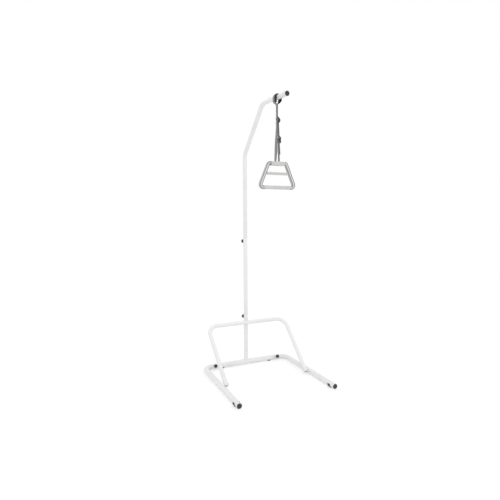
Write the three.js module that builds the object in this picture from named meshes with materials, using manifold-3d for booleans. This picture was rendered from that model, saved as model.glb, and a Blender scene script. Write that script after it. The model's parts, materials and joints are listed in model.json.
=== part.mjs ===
// Free-standing bed trapeze: a floor frame of bent steel tube, a three-part mast with a
// cranked boom, and a moulded trapeze handle that hangs from the boom on adjustable webbing.
// Millimetres, +Z up. The legs and the boom point along -Y. The origin is on the floor, in
// the middle of the box that the whole object fills.
import * as THREE from 'three';
import { mergeVertices } from 'three/addons/utils/BufferGeometryUtils.js';
import Module from 'manifold-3d';

const wasm = await Module();
wasm.setup();

// Clearances
const clearance = 0.3;
const webbingClearance = 0.5;
const overrun = 5;

// Floor frame
const legSpacing = 662;
const legReach = 666;
const baseTubeDiameter = 35;
const baseTubeWall = 2;
const cornerRadius = 60;
const bendLead = 2;
const legSpigotLength = 44;

// Mast and boom
const mastTubeDiameter = 30;
const mastTubeWall = 2;
const lowerSeamHeight = 385;
const upperSeamHeight = 955;
const mastSpigotLength = 50;
const firstBendHeight = 1560;
const inclineRun = 302;
const inclineRise = 287;
const boomRun = 328;
const boomDrop = 28;
const mastBendRadius = 80;

// Hoop that braces the mast to the legs
const hoopTubeDiameter = 28;
const hoopTubeWall = 2;
const hoopHeight = 327;
const hoopTopWidth = 616;
const hoopFootReach = 361;
const hoopFootHeight = 29.5;
const hoopFootOverhang = 12;
const hoopBendRadius = 68;

// Clamp knobs, their studs and weld nuts
const knobDiameter = 26;
const knobLobes = 8;
const knobLobeDepth = 1.6;
const knobHeadLength = 15;
const knobEdge = 2.5;
const knobNeckDiameter = 15;
const legKnobNeck = 2.5;
const mastKnobNeck = 13;
const knobStandoff = 0.8;
const studDiameter = 8;
const nutAcrossFlats = 13;
const nutHeight = 5;
const knobSeamDistance = 26;
const legKnobSeamDistance = 17;
const legKnobTilt = THREE.MathUtils.degToRad(22);

// Bolts of the hoop
const boltDiameter = 8;
const boltHeadDiameter = 14;
const boltHeadHeight = 4.6;
const boltDomeShares = [[0, 1], [0.45, 0.93], [0.8, 0.66], [1, 0.25], [1, 0]];
const boltSocketAcrossFlats = 5;
const boltSocketDepth = 2.6;
const capNutDome = 5;
const rivetNutDiameter = 11;
const rivetNutLength = 16;

// Plugs, glides and stop pins
const legPlugDiameter = 31.5;
const boomPlugDiameter = 29.6;
const plugEdge = 1;
const plugHeadLength = 3;
const plugStemLength = 16;
const plugStemWall = 2.5;
const plugDimpleRadius = 5;
const plugDimpleDepth = 1;
const glideThickness = 3.5;
const glideWidth = 22;
const glideSetback = 45;
const glideWrap = THREE.MathUtils.degToRad(105);
const rearGlideWrap = THREE.MathUtils.degToRad(38);
const rearGlideSpacing = 380;
const glideSoleWidth = 18;
const glidePegDiameter = 6;
const glidePegLength = 8;
const stopPinDiameter = 8;
const stopPinHeight = 11;
const rearStopReach = 392;
const frontStopReach = 589;

// Webbing, boom sleeve and buckles
const webbingWidth = 20;
const webbingThickness = 2;
const sleeveWidth = 30;
const sleeveThickness = 4;
const sleevePlay = 1.6;
const sleeveWrap = THREE.MathUtils.degToRad(48);
const loopStretch = 17.5;
const strapReach = 502;
const strapPinchDrop = 44.5;
const strapPinchRadius = 5;
const sewnLength = 63;
const partingRadius = 10;
const upperBuckleDrop = 124;
const buckleCheekWidth = 4.5;
const buckleSlotPlay = 1.5;
const buckleBarRadius = 2.5;
const upperBuckleHeight = 33;
const upperBuckleBow = 13.5;
const upperBarSetOut = 10.5;
const lowerBuckleHeight = 30;
const lowerBuckleBow = 13;
const lowerBuckleRise = 132;
const lowerBuckleOffset = 17;
const lowerBarSetOut = 8.5;
const strandCurveDrop = 30;
const strandCurveRise = 50;
const strandCurveShare = 0.9;
const tailLength = 76;
const sewnFlap = 12;

// Trapeze handle
const handleDrop = 263;
const handleHeight = 170;
const handleTopWidth = 131.5;
const handleBottomWidth = 274.5;
const handleSideBar = 18;
const handleTopBar = 24;
const handleBottomBar = 24;
const handleDepth = 20;
const handleRound = 8;
const handleTopCorner = 22;
const handleBottomCorner = 28;
const handleInnerCorner = 14;
const gripBarDrop = 73;
const gripCoreRadius = 6;
const gripSleeveRadius = 7.3;
const gripRibHeight = 2.2;
const gripRibCount = 8;
const gripRibShares = [0.14, 0.38, 0.62, 0.86];
const gripLength = 146;
const saddleWidth = 96;
const saddleHeight = 24;
const saddleDepth = 30;
const saddleCorner = 9;
const saddleRound = 4;
const bridgeHalfWidth = 10.8;
const bridgeCorner = 3;
const bridgeHeight = 8;
const slotPlay = 1.2;
const grooveWidth = 7;
const grooveDepth = 2;
const grooveCorner = 2;

// Facets
const tubeSides = 16;
const boltSides = 12;
const bendSteps = 5;
const glideSteps = 7;
const knobSides = 32;
const arcStep = THREE.MathUtils.degToRad(20);
const longestFacet = 18;

// Derived frame places, with the mast's axis at x = 0, y = 0
const baseRadius = baseTubeDiameter / 2;
const mastRadius = mastTubeDiameter / 2;
const hoopRadius = hoopTubeDiameter / 2;
const baseAxisHeight = baseRadius + glideThickness;
const legX = legSpacing / 2;
const bendStartX = legX - cornerRadius;
const legSeamX = bendStartX - bendLead;
const knobBase = nutHeight + knobStandoff;
const knobReach = knobBase + mastKnobNeck + knobHeadLength;
const frontReach = legReach + plugHeadLength;
const rearReach = mastRadius + knobReach;
const hoopBarY = -(mastRadius + hoopRadius + clearance);
const hoopFootX = legX - baseRadius - hoopRadius - clearance;

const firstBend = new THREE.Vector3(0, 0, firstBendHeight);
const secondBend = new THREE.Vector3(0, -inclineRun, firstBendHeight + inclineRise);
const boomEnd = new THREE.Vector3(0, -inclineRun - boomRun, secondBend.z - boomDrop);
const boomDirection = boomEnd.clone().sub(secondBend).normalize();

/** Point on the boom's centre line at a distance from the mast. */
function boomPoint(reach) {
  const share = (reach - inclineRun) / boomRun;
  return secondBend.clone().lerp(boomEnd, share);
}

// Materials
const whitePaint = new THREE.MeshStandardMaterial({ color: 0xf1f1f0, roughness: 0.35, metalness: 0 });
const blackPlastic = new THREE.MeshStandardMaterial({ color: 0x1c1c1d, roughness: 0.5, metalness: 0 });
const zincSteel = new THREE.MeshStandardMaterial({ color: 0xb4b6b8, roughness: 0.35, metalness: 1 });
const blackRubber = new THREE.MeshStandardMaterial({ color: 0x171718, roughness: 0.7, metalness: 0 });
const greyWebbing = new THREE.MeshStandardMaterial({ color: 0x86847f, roughness: 0.9, metalness: 0 });
const greyPlastic = new THREE.MeshStandardMaterial({ color: 0xc9c9c7, roughness: 0.45, metalness: 0 });

// Geometry helpers

/** Merged, outward-facing copy of a closed geometry that holds positions only. */
function tidy(geometry) {
  const bare = geometry.clone();
  bare.deleteAttribute('normal');
  bare.deleteAttribute('uv');
  const merged = mergeVertices(bare, 1e-4);
  const position = merged.getAttribute('position');
  const order = merged.getIndex().array;
  const kept = [];
  let volume = 0;
  const [a, b, c] = [new THREE.Vector3(), new THREE.Vector3(), new THREE.Vector3()];
  for (let i = 0; i < order.length; i += 3) {
    const [p, q, r] = [order[i], order[i + 1], order[i + 2]];
    if (p === q || q === r || r === p) continue;
    kept.push(p, q, r);
    a.fromBufferAttribute(position, p);
    b.fromBufferAttribute(position, q);
    c.fromBufferAttribute(position, r);
    volume += a.dot(b.cross(c));
  }
  if (volume < 0) {
    for (let i = 0; i < kept.length; i += 3) [kept[i], kept[i + 1]] = [kept[i + 1], kept[i]];
  }
  merged.setIndex(kept);
  return merged;
}

/** Solid that can be joined and cut. */
function solid(geometry) {
  const closed = tidy(geometry);
  const vertProperties = new Float32Array(closed.getAttribute('position').array);
  const triVerts = new Uint32Array(closed.getIndex().array);
  return new wasm.Manifold(new wasm.Mesh({ numProp: 3, vertProperties, triVerts }));
}

/** Geometry of a joined or cut solid. */
function geometryOf(body) {
  const mesh = body.getMesh();
  const geometry = new THREE.BufferGeometry();
  geometry.setAttribute('position', new THREE.BufferAttribute(new Float32Array(mesh.vertProperties), 3));
  geometry.setIndex(new THREE.BufferAttribute(new Uint32Array(mesh.triVerts), 1));
  return geometry;
}

/** First geometry joined with the others. */
function joined(first, ...others) {
  return geometryOf(others.reduce((body, other) => body.add(solid(other)), solid(first)));
}

/** First geometry with the others cut away. */
function cut(first, ...tools) {
  return geometryOf(tools.reduce((body, tool) => body.subtract(solid(tool)), solid(first)));
}

/** Matrix that takes the Z axis to a direction, at a point. */
function along(direction, point = new THREE.Vector3()) {
  const turn = new THREE.Quaternion().setFromUnitVectors(new THREE.Vector3(0, 0, 1), direction);
  return new THREE.Matrix4().compose(point, turn, new THREE.Vector3(1, 1, 1));
}

/** Geometry moved into place by a matrix. */
function placed(geometry, matrix) {
  return geometry.clone().applyMatrix4(matrix);
}

/** Geometry moved by a step. */
function shifted(geometry, x, y, z) {
  return geometry.clone().translate(x, y, z);
}

/** Round solid turned about Z from a profile of [radius, height] pairs. */
function turned(profile, sides) {
  const points = profile.map(([radius, height]) => new THREE.Vector2(radius, height));
  return new THREE.LatheGeometry(points, sides).rotateX(Math.PI / 2);
}

/** Round rod from one point to another. */
function rod(from, to, radius, sides = boltSides) {
  const span = to.clone().sub(from);
  const length = span.length();
  const straight = turned([[0, 0], [radius, 0], [radius, length], [0, length]], sides);
  return placed(straight, along(span.normalize(), from));
}

/** Hexagonal prism on Z, measured across its flats. */
function hexagon(acrossFlats, from, to) {
  const radius = acrossFlats / 2 / Math.cos(Math.PI / 6);
  return turned([[0, from], [radius, from], [radius, to], [0, to]], 6);
}

/** Shape pushed along its own Z, centred on it, with rounded edges inside its outline. */
function slab(shape, depth, round = 0, roundSteps = 2) {
  const geometry = new THREE.ExtrudeGeometry(shape, {
    depth: depth - 2 * round,
    bevelEnabled: round > 0,
    bevelThickness: round,
    bevelSize: round,
    bevelOffset: -round,
    bevelSegments: roundSteps,
    curveSegments: 5,
    steps: 1,
  });
  return geometry.translate(0, 0, round - depth / 2);
}

// Turns a drawing in X and Y into one that stands in X and Z, pushed along Y.
const standing = new THREE.Matrix4().makeRotationX(Math.PI / 2);

/** Centre line through corner points whose inner corners are rounded by arcs. */
class TubePath extends THREE.Curve {
  constructor(corners, radius, steps) {
    super();
    this.places = [corners[0]];
    this.headings = [corners[1].clone().sub(corners[0]).normalize()];
    for (let i = 1; i < corners.length - 1; i += 1) {
      this.addBend(corners[i - 1], corners[i], corners[i + 1], radius, steps);
    }
    this.places.push(corners.at(-1));
    this.headings.push(corners.at(-1).clone().sub(corners.at(-2)).normalize());
  }

  addBend(before, corner, after, radius, steps) {
    const heading = corner.clone().sub(before).normalize();
    const leaving = after.clone().sub(corner).normalize();
    const turn = heading.angleTo(leaving);
    const setback = radius * Math.tan(turn / 2);
    const axis = heading.clone().cross(leaving).normalize();
    const start = corner.clone().addScaledVector(heading, -setback);
    const centre = start.clone().addScaledVector(axis.clone().cross(heading), radius);
    const arm = start.sub(centre);
    for (let k = 0; k <= steps; k += 1) {
      const angle = turn * k / steps;
      this.places.push(arm.clone().applyAxisAngle(axis, angle).add(centre));
      this.headings.push(heading.clone().applyAxisAngle(axis, angle));
    }
  }

  get steps() {
    return this.places.length - 1;
  }

  getUtoTmapping(u) {
    return u;
  }

  blend(list, t, target) {
    const place = Math.min(Math.max(t, 0), 1) * this.steps;
    const index = Math.min(Math.floor(place), this.steps - 1);
    return target.copy(list[index]).lerp(list[index + 1], place - index);
  }

  getPoint(t, target = new THREE.Vector3()) {
    return this.blend(this.places, t, target);
  }

  getTangent(t, target = new THREE.Vector3()) {
    return this.blend(this.headings, t, target).normalize();
  }
}

/** Circle as a closed outline. */
function circle(radius, sides) {
  const outline = [];
  for (let i = 0; i < sides; i += 1) {
    const angle = 2 * Math.PI * i / sides;
    outline.push(new THREE.Vector2(radius * Math.cos(angle), radius * Math.sin(angle)));
  }
  return outline;
}

/** Hollow tube along a path. */
function bentTube(path, radius, wall) {
  const section = new THREE.Shape(circle(radius, tubeSides));
  section.holes.push(new THREE.Path(circle(radius - wall, tubeSides)));
  return new THREE.ExtrudeGeometry(section, { extrudePath: path, steps: path.steps });
}

/** Straight hollow tube on Z. */
function straightTube(radius, wall, from, to) {
  const bore = radius - wall;
  return turned([[bore, from], [radius, from], [radius, to], [bore, to], [bore, from]], tubeSides);
}

/** Drawn-in end of a tube on Z: its shoulder is at zero, its spigot runs down from there. */
function swage(radius, wall, length) {
  const bore = radius - wall;
  const spigot = bore - clearance;
  const narrow = spigot - wall;
  const root = bore + wall / 2;
  return turned([
    [narrow, -length], [spigot - wall / 2, -length], [spigot, wall / 2 - length], [spigot, 0], [root, 0],
    [root, wall], [narrow, wall], [narrow, -length],
  ], tubeSides);
}

// Webbing helpers: a strap is drawn in X and Z as a belt round named bars.

/** Centre line of a belt round stops of {x, z, radius, turn}; turn is 1 against the clock, -1 with it. */
function belt(stops, closed = false) {
  const count = stops.length;
  const headings = [];
  for (let i = 0; i < (closed ? count : count - 1); i += 1) {
    const [from, to] = [stops[i], stops[(i + 1) % count]];
    const difference = from.turn * from.radius - to.turn * to.radius;
    const distance = Math.hypot(to.x - from.x, to.z - from.z);
    headings.push(Math.atan2(to.z - from.z, to.x - from.x) + Math.asin(difference / distance));
  }
  const line = [];
  for (let i = 0; i < count; i += 1) {
    const stop = stops[i];
    const leaving = headings[Math.min(i, headings.length - 1)];
    const arriving = closed ? headings[(i + count - 1) % count] : headings[Math.max(i - 1, 0)];
    const full = 2 * Math.PI;
    const sweep = ((stop.turn * (leaving - arriving)) % full + full) % full;
    const swept = full - sweep < 1e-6 ? 0 : sweep;
    const steps = Math.max(1, Math.ceil(swept / arcStep), Math.ceil(swept * stop.radius / longestFacet));
    for (let k = 0; k <= steps; k += 1) {
      const heading = arriving + stop.turn * swept * k / steps;
      const right = new THREE.Vector2(Math.sin(heading), -Math.cos(heading));
      const place = new THREE.Vector2(stop.x, stop.z).addScaledVector(right, stop.turn * stop.radius);
      if (k === 0 || swept > 1e-6) line.push({ place, right });
    }
  }
  return line;
}

/** One edge of a belt, beside its centre line. */
function beltEdge(line, offset) {
  return line.map(({ place, right }) => place.clone().addScaledVector(right, offset));
}

/** Flat webbing along an open or closed belt, its width along Y. */
function webbing(line, thickness, width, closed = false) {
  const right = beltEdge(line, thickness / 2);
  const left = beltEdge(line, -thickness / 2);
  if (!closed) return placed(slab(new THREE.Shape([...right, ...left.reverse()]), width), standing);
  const size = (edge) => Math.abs(THREE.ShapeUtils.area(edge));
  const [outer, inner] = size(right) > size(left) ? [right, left] : [left, right];
  const block = placed(slab(new THREE.Shape(outer), width), standing);
  return cut(block, placed(slab(new THREE.Shape(inner), width + overrun), standing));
}

/** Stop of a belt: a bar or edge that it bends round. */
function stop(x, z, radius, turn) {
  return { x, z, radius, turn };
}

// Object, with every node placed from the mast's foot
const object = new THREE.Group();
const parts = new THREE.Group();
parts.position.y = (frontReach - rearReach) / 2;
object.add(parts);

/** Adds a named piece of a material. */
function add(name, geometry, material, parent = parts) {
  const mesh = new THREE.Mesh(tidy(geometry), material);
  mesh.name = name;
  parent.add(mesh);
  return mesh;
}

// Clamp knobs: a lobed head on a stud that runs through a nut welded on the tube

/** Lobed outline of a knob's head. */
function knobOutline() {
  const outline = [];
  for (let i = 0; i < knobSides; i += 1) {
    const angle = 2 * Math.PI * i / knobSides;
    const radius = knobDiameter / 2 - knobLobeDepth * (1 - Math.cos(knobLobes * angle)) / 2;
    outline.push(new THREE.Vector2(radius * Math.cos(angle), radius * Math.sin(angle)));
  }
  return new THREE.Shape(outline);
}

/** Pieces of a clamp on a tube, on Z from the tube's axis. */
function clampPieces(tubeRadius, tubeWall, neckLength) {
  const neck = tubeRadius + knobBase;
  const head = neck + neckLength;
  const studRadius = studDiameter / 2;
  const tip = tubeRadius - tubeWall;
  const studEnd = head + knobHeadLength / 2;
  const socket = turned([
    [0, neck - overrun], [studRadius + clearance, neck - overrun],
    [studRadius + clearance, studEnd + clearance], [0, studEnd + clearance],
  ], boltSides);
  const collar = turned([
    [0, neck], [knobNeckDiameter / 2, neck], [knobNeckDiameter / 2, head + knobEdge], [0, head + knobEdge],
  ], tubeSides);
  const grip = shifted(slab(knobOutline(), knobHeadLength, knobEdge), 0, 0, head + knobHeadLength / 2);
  const saddle = rod(
    new THREE.Vector3(0, -nutAcrossFlats, 0),
    new THREE.Vector3(0, nutAcrossFlats, 0),
    tubeRadius + clearance,
    tubeSides,
  );
  const thread = turned([
    [0, 0], [studRadius + clearance, 0], [studRadius + clearance, neck + overrun], [0, neck + overrun],
  ], boltSides);
  const nut = hexagon(nutAcrossFlats, tubeRadius - tubeWall, tubeRadius + nutHeight);
  return {
    knob: cut(joined(grip, collar), socket),
    stud: turned([[0, tip], [studRadius, tip], [studRadius, studEnd], [0, studEnd]], boltSides),
    nut: cut(nut, saddle, thread),
    hole: thread,
  };
}

const legClamp = clampPieces(baseRadius, baseTubeWall, legKnobNeck);
const mastClamp = clampPieces(mastRadius, mastTubeWall, mastKnobNeck);

/** Place of a leg's clamp: near the cross tube's end, pointing forward and a little up. */
function legClampPlace(side) {
  const direction = new THREE.Vector3(0, -Math.cos(legKnobTilt), Math.sin(legKnobTilt));
  const turn = new THREE.Matrix4().makeBasis(
    new THREE.Vector3(0, direction.z, -direction.y),
    new THREE.Vector3(-1, 0, 0),
    direction,
  );
  return turn.setPosition(side * (legSeamX - legKnobSeamDistance), 0, baseAxisHeight);
}

/** Place of a mast clamp: below a seam, pointing to the rear. */
function mastClampPlace(seamHeight) {
  const turn = new THREE.Matrix4().makeBasis(
    new THREE.Vector3(1, 0, 0),
    new THREE.Vector3(0, 0, -1),
    new THREE.Vector3(0, 1, 0),
  );
  return turn.setPosition(0, 0, seamHeight - knobSeamDistance);
}

// Floor frame: the cross tube, open at both ends for the legs

const pegHole = (side) => rod(
  new THREE.Vector3(side * rearGlideSpacing / 2, 0, 0),
  new THREE.Vector3(side * rearGlideSpacing / 2, 0, glideThickness + glidePegLength),
  glidePegDiameter / 2 + clearance,
);
const crossTube = straightTube(baseRadius, baseTubeWall, clearance - legSeamX, legSeamX - clearance);
add('cross_tube', cut(
  crossTube.rotateY(Math.PI / 2).translate(0, 0, baseAxisHeight),
  pegHole(-1), pegHole(1),
  placed(legClamp.hole, legClampPlace(-1)), placed(legClamp.hole, legClampPlace(1)),
), whitePaint);

// Hoop, with its holes, and the bolts that hold it

const hoopFoot = (side) => new THREE.Vector3(side * hoopFootX, -hoopFootReach, hoopFootHeight);
const hoopCorner = (side) => new THREE.Vector3(side * hoopTopWidth / 2, hoopBarY, hoopHeight);

/** Cut end of the hoop, past its foot bolt. */
function hoopEnd(side) {
  const down = hoopFoot(side).sub(hoopCorner(side)).normalize();
  return hoopFoot(side).addScaledVector(down, hoopFootOverhang);
}

const boltHole = boltDiameter / 2 + clearance;
const mastBoltHole = rod(
  new THREE.Vector3(0, hoopBarY - hoopRadius - overrun, hoopHeight),
  new THREE.Vector3(0, mastRadius + overrun, hoopHeight),
  boltHole,
);
const footBoltHole = (side) => rod(
  new THREE.Vector3(side * (hoopFootX - hoopRadius - overrun), -hoopFootReach, hoopFootHeight),
  new THREE.Vector3(side * legX, -hoopFootReach, hoopFootHeight),
  boltHole,
);

const hoopCorners = [hoopEnd(-1), hoopCorner(-1), hoopCorner(1), hoopEnd(1)];
const hoopPath = new TubePath(hoopCorners, hoopBendRadius, bendSteps);
add('hoop_brace', cut(
  bentTube(hoopPath, hoopRadius, hoopTubeWall),
  mastBoltHole, footBoltHole(-1), footBoltHole(1),
), whitePaint);

/** Domed socket bolt on Z: its head below zero, its shank above. */
function bolt(shankLength) {
  const head = boltDomeShares.map(([out, up]) => [out * boltHeadDiameter / 2, -up * boltHeadHeight]);
  const radius = boltDiameter / 2;
  const body = turned([...head, [radius, 0], [radius, shankLength], [0, shankLength]], boltSides);
  const socketEnd = boltSocketDepth - boltHeadHeight;
  return cut(body, hexagon(boltSocketAcrossFlats, -boltHeadHeight - overrun, socketEnd));
}

/** Round rivet nut on Z, from zero up, open at both ends. */
function rivetNut() {
  const outer = rivetNutDiameter / 2;
  return turned([
    [boltHole, 0], [outer, 0], [outer, rivetNutLength], [boltHole, rivetNutLength], [boltHole, 0],
  ], boltSides);
}

const mastBoltStart = new THREE.Vector3(0, hoopBarY - hoopRadius - clearance, hoopHeight);
const mastBoltSpan = mastRadius + nutHeight - mastBoltStart.y;
const toRear = new THREE.Vector3(0, 1, 0);
add('hoop_mast_bolt', placed(bolt(mastBoltSpan), along(toRear, mastBoltStart)), zincSteel);

/** Domed cap nut on Z, from zero up, open below. */
function capNut() {
  const shell = turned([
    [0, nutHeight], [nutAcrossFlats / 2, nutHeight], [nutAcrossFlats / 2, nutHeight + capNutDome / 4],
    [nutAcrossFlats / 3, nutHeight + capNutDome * 3 / 4], [nutAcrossFlats / 6, nutHeight + capNutDome],
    [0, nutHeight + capNutDome],
  ], boltSides);
  const socket = turned([
    [0, -overrun], [boltHole, -overrun], [boltHole, nutHeight + clearance], [0, nutHeight + clearance],
  ], boltSides);
  return cut(joined(hexagon(nutAcrossFlats, 0, nutHeight + clearance), shell), socket);
}

const capNutStart = new THREE.Vector3(0, mastRadius + clearance, hoopHeight);
add('hoop_mast_nut', placed(capNut(), along(toRear, capNutStart)), zincSteel);

const footBoltHead = hoopFootX - hoopRadius - clearance;
const rivetNutStart = hoopFootX + hoopRadius + clearance;
const footPlace = (side, x) => along(
  new THREE.Vector3(side, 0, 0),
  new THREE.Vector3(side * x, -hoopFootReach, hoopFootHeight),
);
const footBoltSpan = rivetNutStart + rivetNutLength - footBoltHead;

// Legs: a spigot for the cross tube, a bend and a straight run to the front

function leg(side) {
  const seam = new THREE.Vector3(side * legSeamX, 0, baseAxisHeight);
  const path = new TubePath([
    seam,
    new THREE.Vector3(side * legX, 0, baseAxisHeight),
    new THREE.Vector3(side * legX, -legReach, baseAxisHeight),
  ], cornerRadius, bendSteps);
  const inwards = along(new THREE.Vector3(side, 0, 0), seam);
  const nutHole = rod(
    new THREE.Vector3(side * (legX - baseRadius - overrun), -hoopFootReach, hoopFootHeight),
    new THREE.Vector3(side * legX, -hoopFootReach, hoopFootHeight),
    rivetNutDiameter / 2 + clearance,
  );
  const spigot = placed(swage(baseRadius, baseTubeWall, legSpigotLength), inwards);
  return cut(joined(bentTube(path, baseRadius, baseTubeWall), spigot), nutHole);
}

/** Plug with a domed face and a dimple on Z; its face is at zero, its stem below. */
function plug(tubeRadius, tubeWall, diameter) {
  const bore = tubeRadius - tubeWall - clearance;
  const rim = diameter / 2;
  const back = -plugHeadLength + clearance;
  return turned([
    [0, -plugDimpleDepth], [plugDimpleRadius / 2, -plugDimpleDepth], [plugDimpleRadius, 0],
    [rim / 2, 0], [rim - plugHeadLength / 2, -plugHeadLength / 4], [rim, back * 2 / 3], [rim, back],
    [bore, back], [bore - plugEdge / 2, back - plugStemLength], [bore - plugStemWall, back - plugStemLength],
    [bore - plugStemWall, back - plugHeadLength], [0, back - plugHeadLength],
  ], tubeSides);
}

/** Glide that clips round a tube on Y and stands on a flat sole; wrap is measured from the floor up. */
function glide(wrap) {
  const inner = baseRadius + clearance;
  const outer = baseAxisHeight;
  const down = -Math.PI / 2;
  const ringShape = new THREE.Shape();
  ringShape.absarc(0, 0, outer, down - wrap, down + wrap, false);
  ringShape.absarc(0, 0, inner, down + wrap, down - wrap, true);
  const sole = new THREE.Shape([
    new THREE.Vector2(-glideSoleWidth / 2, -outer),
    new THREE.Vector2(glideSoleWidth / 2, -outer),
    new THREE.Vector2(glideSoleWidth / 2, -inner),
    new THREE.Vector2(-glideSoleWidth / 2, -inner),
  ]);
  const band = new THREE.ExtrudeGeometry(ringShape, {
    depth: glideWidth, bevelEnabled: false, curveSegments: glideSteps,
  });
  const pad = new THREE.ExtrudeGeometry(sole, { depth: glideWidth, bevelEnabled: false });
  const tube = turned([
    [0, -overrun], [inner, -overrun], [inner, glideWidth + overrun], [0, glideWidth + overrun],
  ], tubeSides);
  return shifted(cut(joined(band, pad), tube), 0, 0, -glideWidth / 2).applyMatrix4(standing);
}

const frontGlide = glide(glideWrap);
const glidePeg = rod(
  new THREE.Vector3(0, 0, glideThickness / 2 - baseAxisHeight),
  new THREE.Vector3(0, 0, glideThickness + glidePegLength - baseAxisHeight),
  glidePegDiameter / 2,
);
const rearGlide = joined(
  placed(glide(rearGlideWrap), new THREE.Matrix4().makeRotationZ(Math.PI / 2)),
  glidePeg,
);

for (const [name, side] of [['left', -1], ['right', 1]]) {
  add(`${name}_foot_bolt`, placed(bolt(footBoltSpan), footPlace(side, footBoltHead)), zincSteel);
  add(`${name}_rivet_nut`, placed(rivetNut(), footPlace(side, rivetNutStart)), zincSteel);
  add(`${name}_leg`, leg(side), whitePaint);
  const legEnd = new THREE.Vector3(side * legX, -frontReach, baseAxisHeight);
  const legPlug = plug(baseRadius, baseTubeWall, legPlugDiameter);
  add(`${name}_leg_plug`, placed(legPlug, along(new THREE.Vector3(0, -1, 0), legEnd)), blackPlastic);
  const legGlide = shifted(frontGlide, side * legX, glideSetback - legReach, baseAxisHeight);
  add(`${name}_front_glide`, legGlide, blackPlastic);
  add(`${name}_rear_glide`, shifted(rearGlide, side * rearGlideSpacing / 2, 0, baseAxisHeight), blackPlastic);
  add(`${name}_leg_knob`, placed(legClamp.knob, legClampPlace(side)), blackPlastic);
  add(`${name}_leg_knob_stud`, placed(legClamp.stud, legClampPlace(side)), zincSteel);
  add(`${name}_leg_knob_nut`, placed(legClamp.nut, legClampPlace(side)), whitePaint);
}

// Mast: a lower tube welded on the cross tube, a middle tube and the boom tube

const crossTubeSaddle = rod(
  new THREE.Vector3(-mastTubeDiameter, 0, baseAxisHeight),
  new THREE.Vector3(mastTubeDiameter, 0, baseAxisHeight),
  baseRadius + clearance,
  tubeSides,
);
add('mast_lower_tube', cut(
  straightTube(mastRadius, mastTubeWall, baseAxisHeight, lowerSeamHeight - clearance),
  crossTubeSaddle, mastBoltHole, placed(mastClamp.hole, mastClampPlace(lowerSeamHeight)),
), whitePaint);
const mastSwage = swage(mastRadius, mastTubeWall, mastSpigotLength);
add('mast_middle_tube', cut(
  joined(
    straightTube(mastRadius, mastTubeWall, lowerSeamHeight, upperSeamHeight - clearance),
    shifted(mastSwage, 0, 0, lowerSeamHeight),
  ),
  placed(mastClamp.hole, mastClampPlace(upperSeamHeight)),
), whitePaint);

const boomUp = new THREE.Vector3(0, boomDirection.z, -boomDirection.y);
const pinSeat = mastRadius - mastTubeWall;
const stopPin = (reach, radius, from, to) => rod(
  boomPoint(reach).addScaledVector(boomUp, from),
  boomPoint(reach).addScaledVector(boomUp, to),
  radius,
);
const pinHole = (reach) => (
  stopPin(reach, stopPinDiameter / 2 + clearance, pinSeat - overrun, mastRadius + overrun)
);
const boomPath = new TubePath([
  new THREE.Vector3(0, 0, upperSeamHeight), firstBend, secondBend, boomEnd,
], mastBendRadius, bendSteps);
add('boom_tube', cut(
  joined(bentTube(boomPath, mastRadius, mastTubeWall), shifted(mastSwage, 0, 0, upperSeamHeight)),
  pinHole(rearStopReach), pinHole(frontStopReach),
), whitePaint);

for (const [name, seamHeight] of [['lower', lowerSeamHeight], ['upper', upperSeamHeight]]) {
  const place = mastClampPlace(seamHeight);
  add(`${name}_mast_knob`, placed(mastClamp.knob, place), blackPlastic);
  add(`${name}_mast_knob_stud`, placed(mastClamp.stud, place), zincSteel);
  add(`${name}_mast_knob_nut`, placed(mastClamp.nut, place), whitePaint);
}
const boomPlugFace = boomEnd.clone().addScaledVector(boomDirection, plugHeadLength);
const boomPlug = plug(mastRadius, mastTubeWall, boomPlugDiameter);
add('boom_plug', placed(boomPlug, along(boomDirection, boomPlugFace)), blackPlastic);
for (const [name, reach] of [['rear_stop_pin', rearStopReach], ['front_stop_pin', frontStopReach]]) {
  add(name, stopPin(reach, stopPinDiameter / 2, pinSeat, mastRadius + stopPinHeight), whitePaint);
}

// Strap: a lined loop over the boom, two buckles and the webbing that carries the handle

const strap = new THREE.Group();
strap.position.set(0, -strapReach, 0);
parts.add(strap);

const boomHeight = boomPoint(strapReach).z;
const halfWeb = webbingThickness / 2;
const layer = halfWeb + clearance / 2;
const sleeveInner = mastRadius + sleevePlay;
const loopRadius = sleeveInner + sleeveThickness + clearance + halfWeb;
const loopCentre = boomHeight - sleevePlay + clearance + sleeveWidth / 2 * Math.abs(boomDirection.z);
const loopLow = loopCentre - loopStretch;
const pinchHeight = boomHeight - strapPinchDrop;
const barWrap = buckleBarRadius + webbingClearance + halfWeb;
const buckleX = barWrap - layer;
const upperBarHeight = boomHeight - upperBuckleDrop;
const lowerBarDrop = 2 * (barWrap + halfWeb) + webbingClearance;
const lowerBarHeight = upperBarHeight - lowerBarDrop;

add('upper_strap', webbing(belt([
  stop(0, loopCentre, loopRadius, -1),
  stop(0, loopLow, loopRadius, -1),
  stop(strapPinchRadius + layer, pinchHeight, strapPinchRadius, 1),
  stop(partingRadius + layer, pinchHeight - sewnLength, partingRadius, 1),
  stop(buckleX, upperBarHeight, barWrap, -1),
  stop(-strapPinchRadius - layer, pinchHeight, strapPinchRadius, 1),
  stop(0, loopLow, loopRadius, -1),
], true), webbingThickness, webbingWidth, true), greyWebbing, strap);

/** Lining of the loop: open at the bottom, following the webbing's inner side. */
function boomSleeve() {
  const lining = sleeveInner + sleeveThickness / 2;
  const lip = sleeveThickness / 2;
  const x = lining * Math.cos(sleeveWrap) - lip * Math.sin(sleeveWrap);
  const end = loopLow - lining * Math.sin(sleeveWrap) - lip * Math.cos(sleeveWrap);
  return belt([
    stop(-x, end, 0, 1),
    stop(0, loopLow, lining, -1),
    stop(0, loopCentre, lining, -1),
    stop(0, loopLow, lining, -1),
    stop(x, end, 0, 1),
  ]);
}
add('boom_sleeve', webbing(boomSleeve(), sleeveThickness, sleeveWidth), blackRubber, strap);

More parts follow.
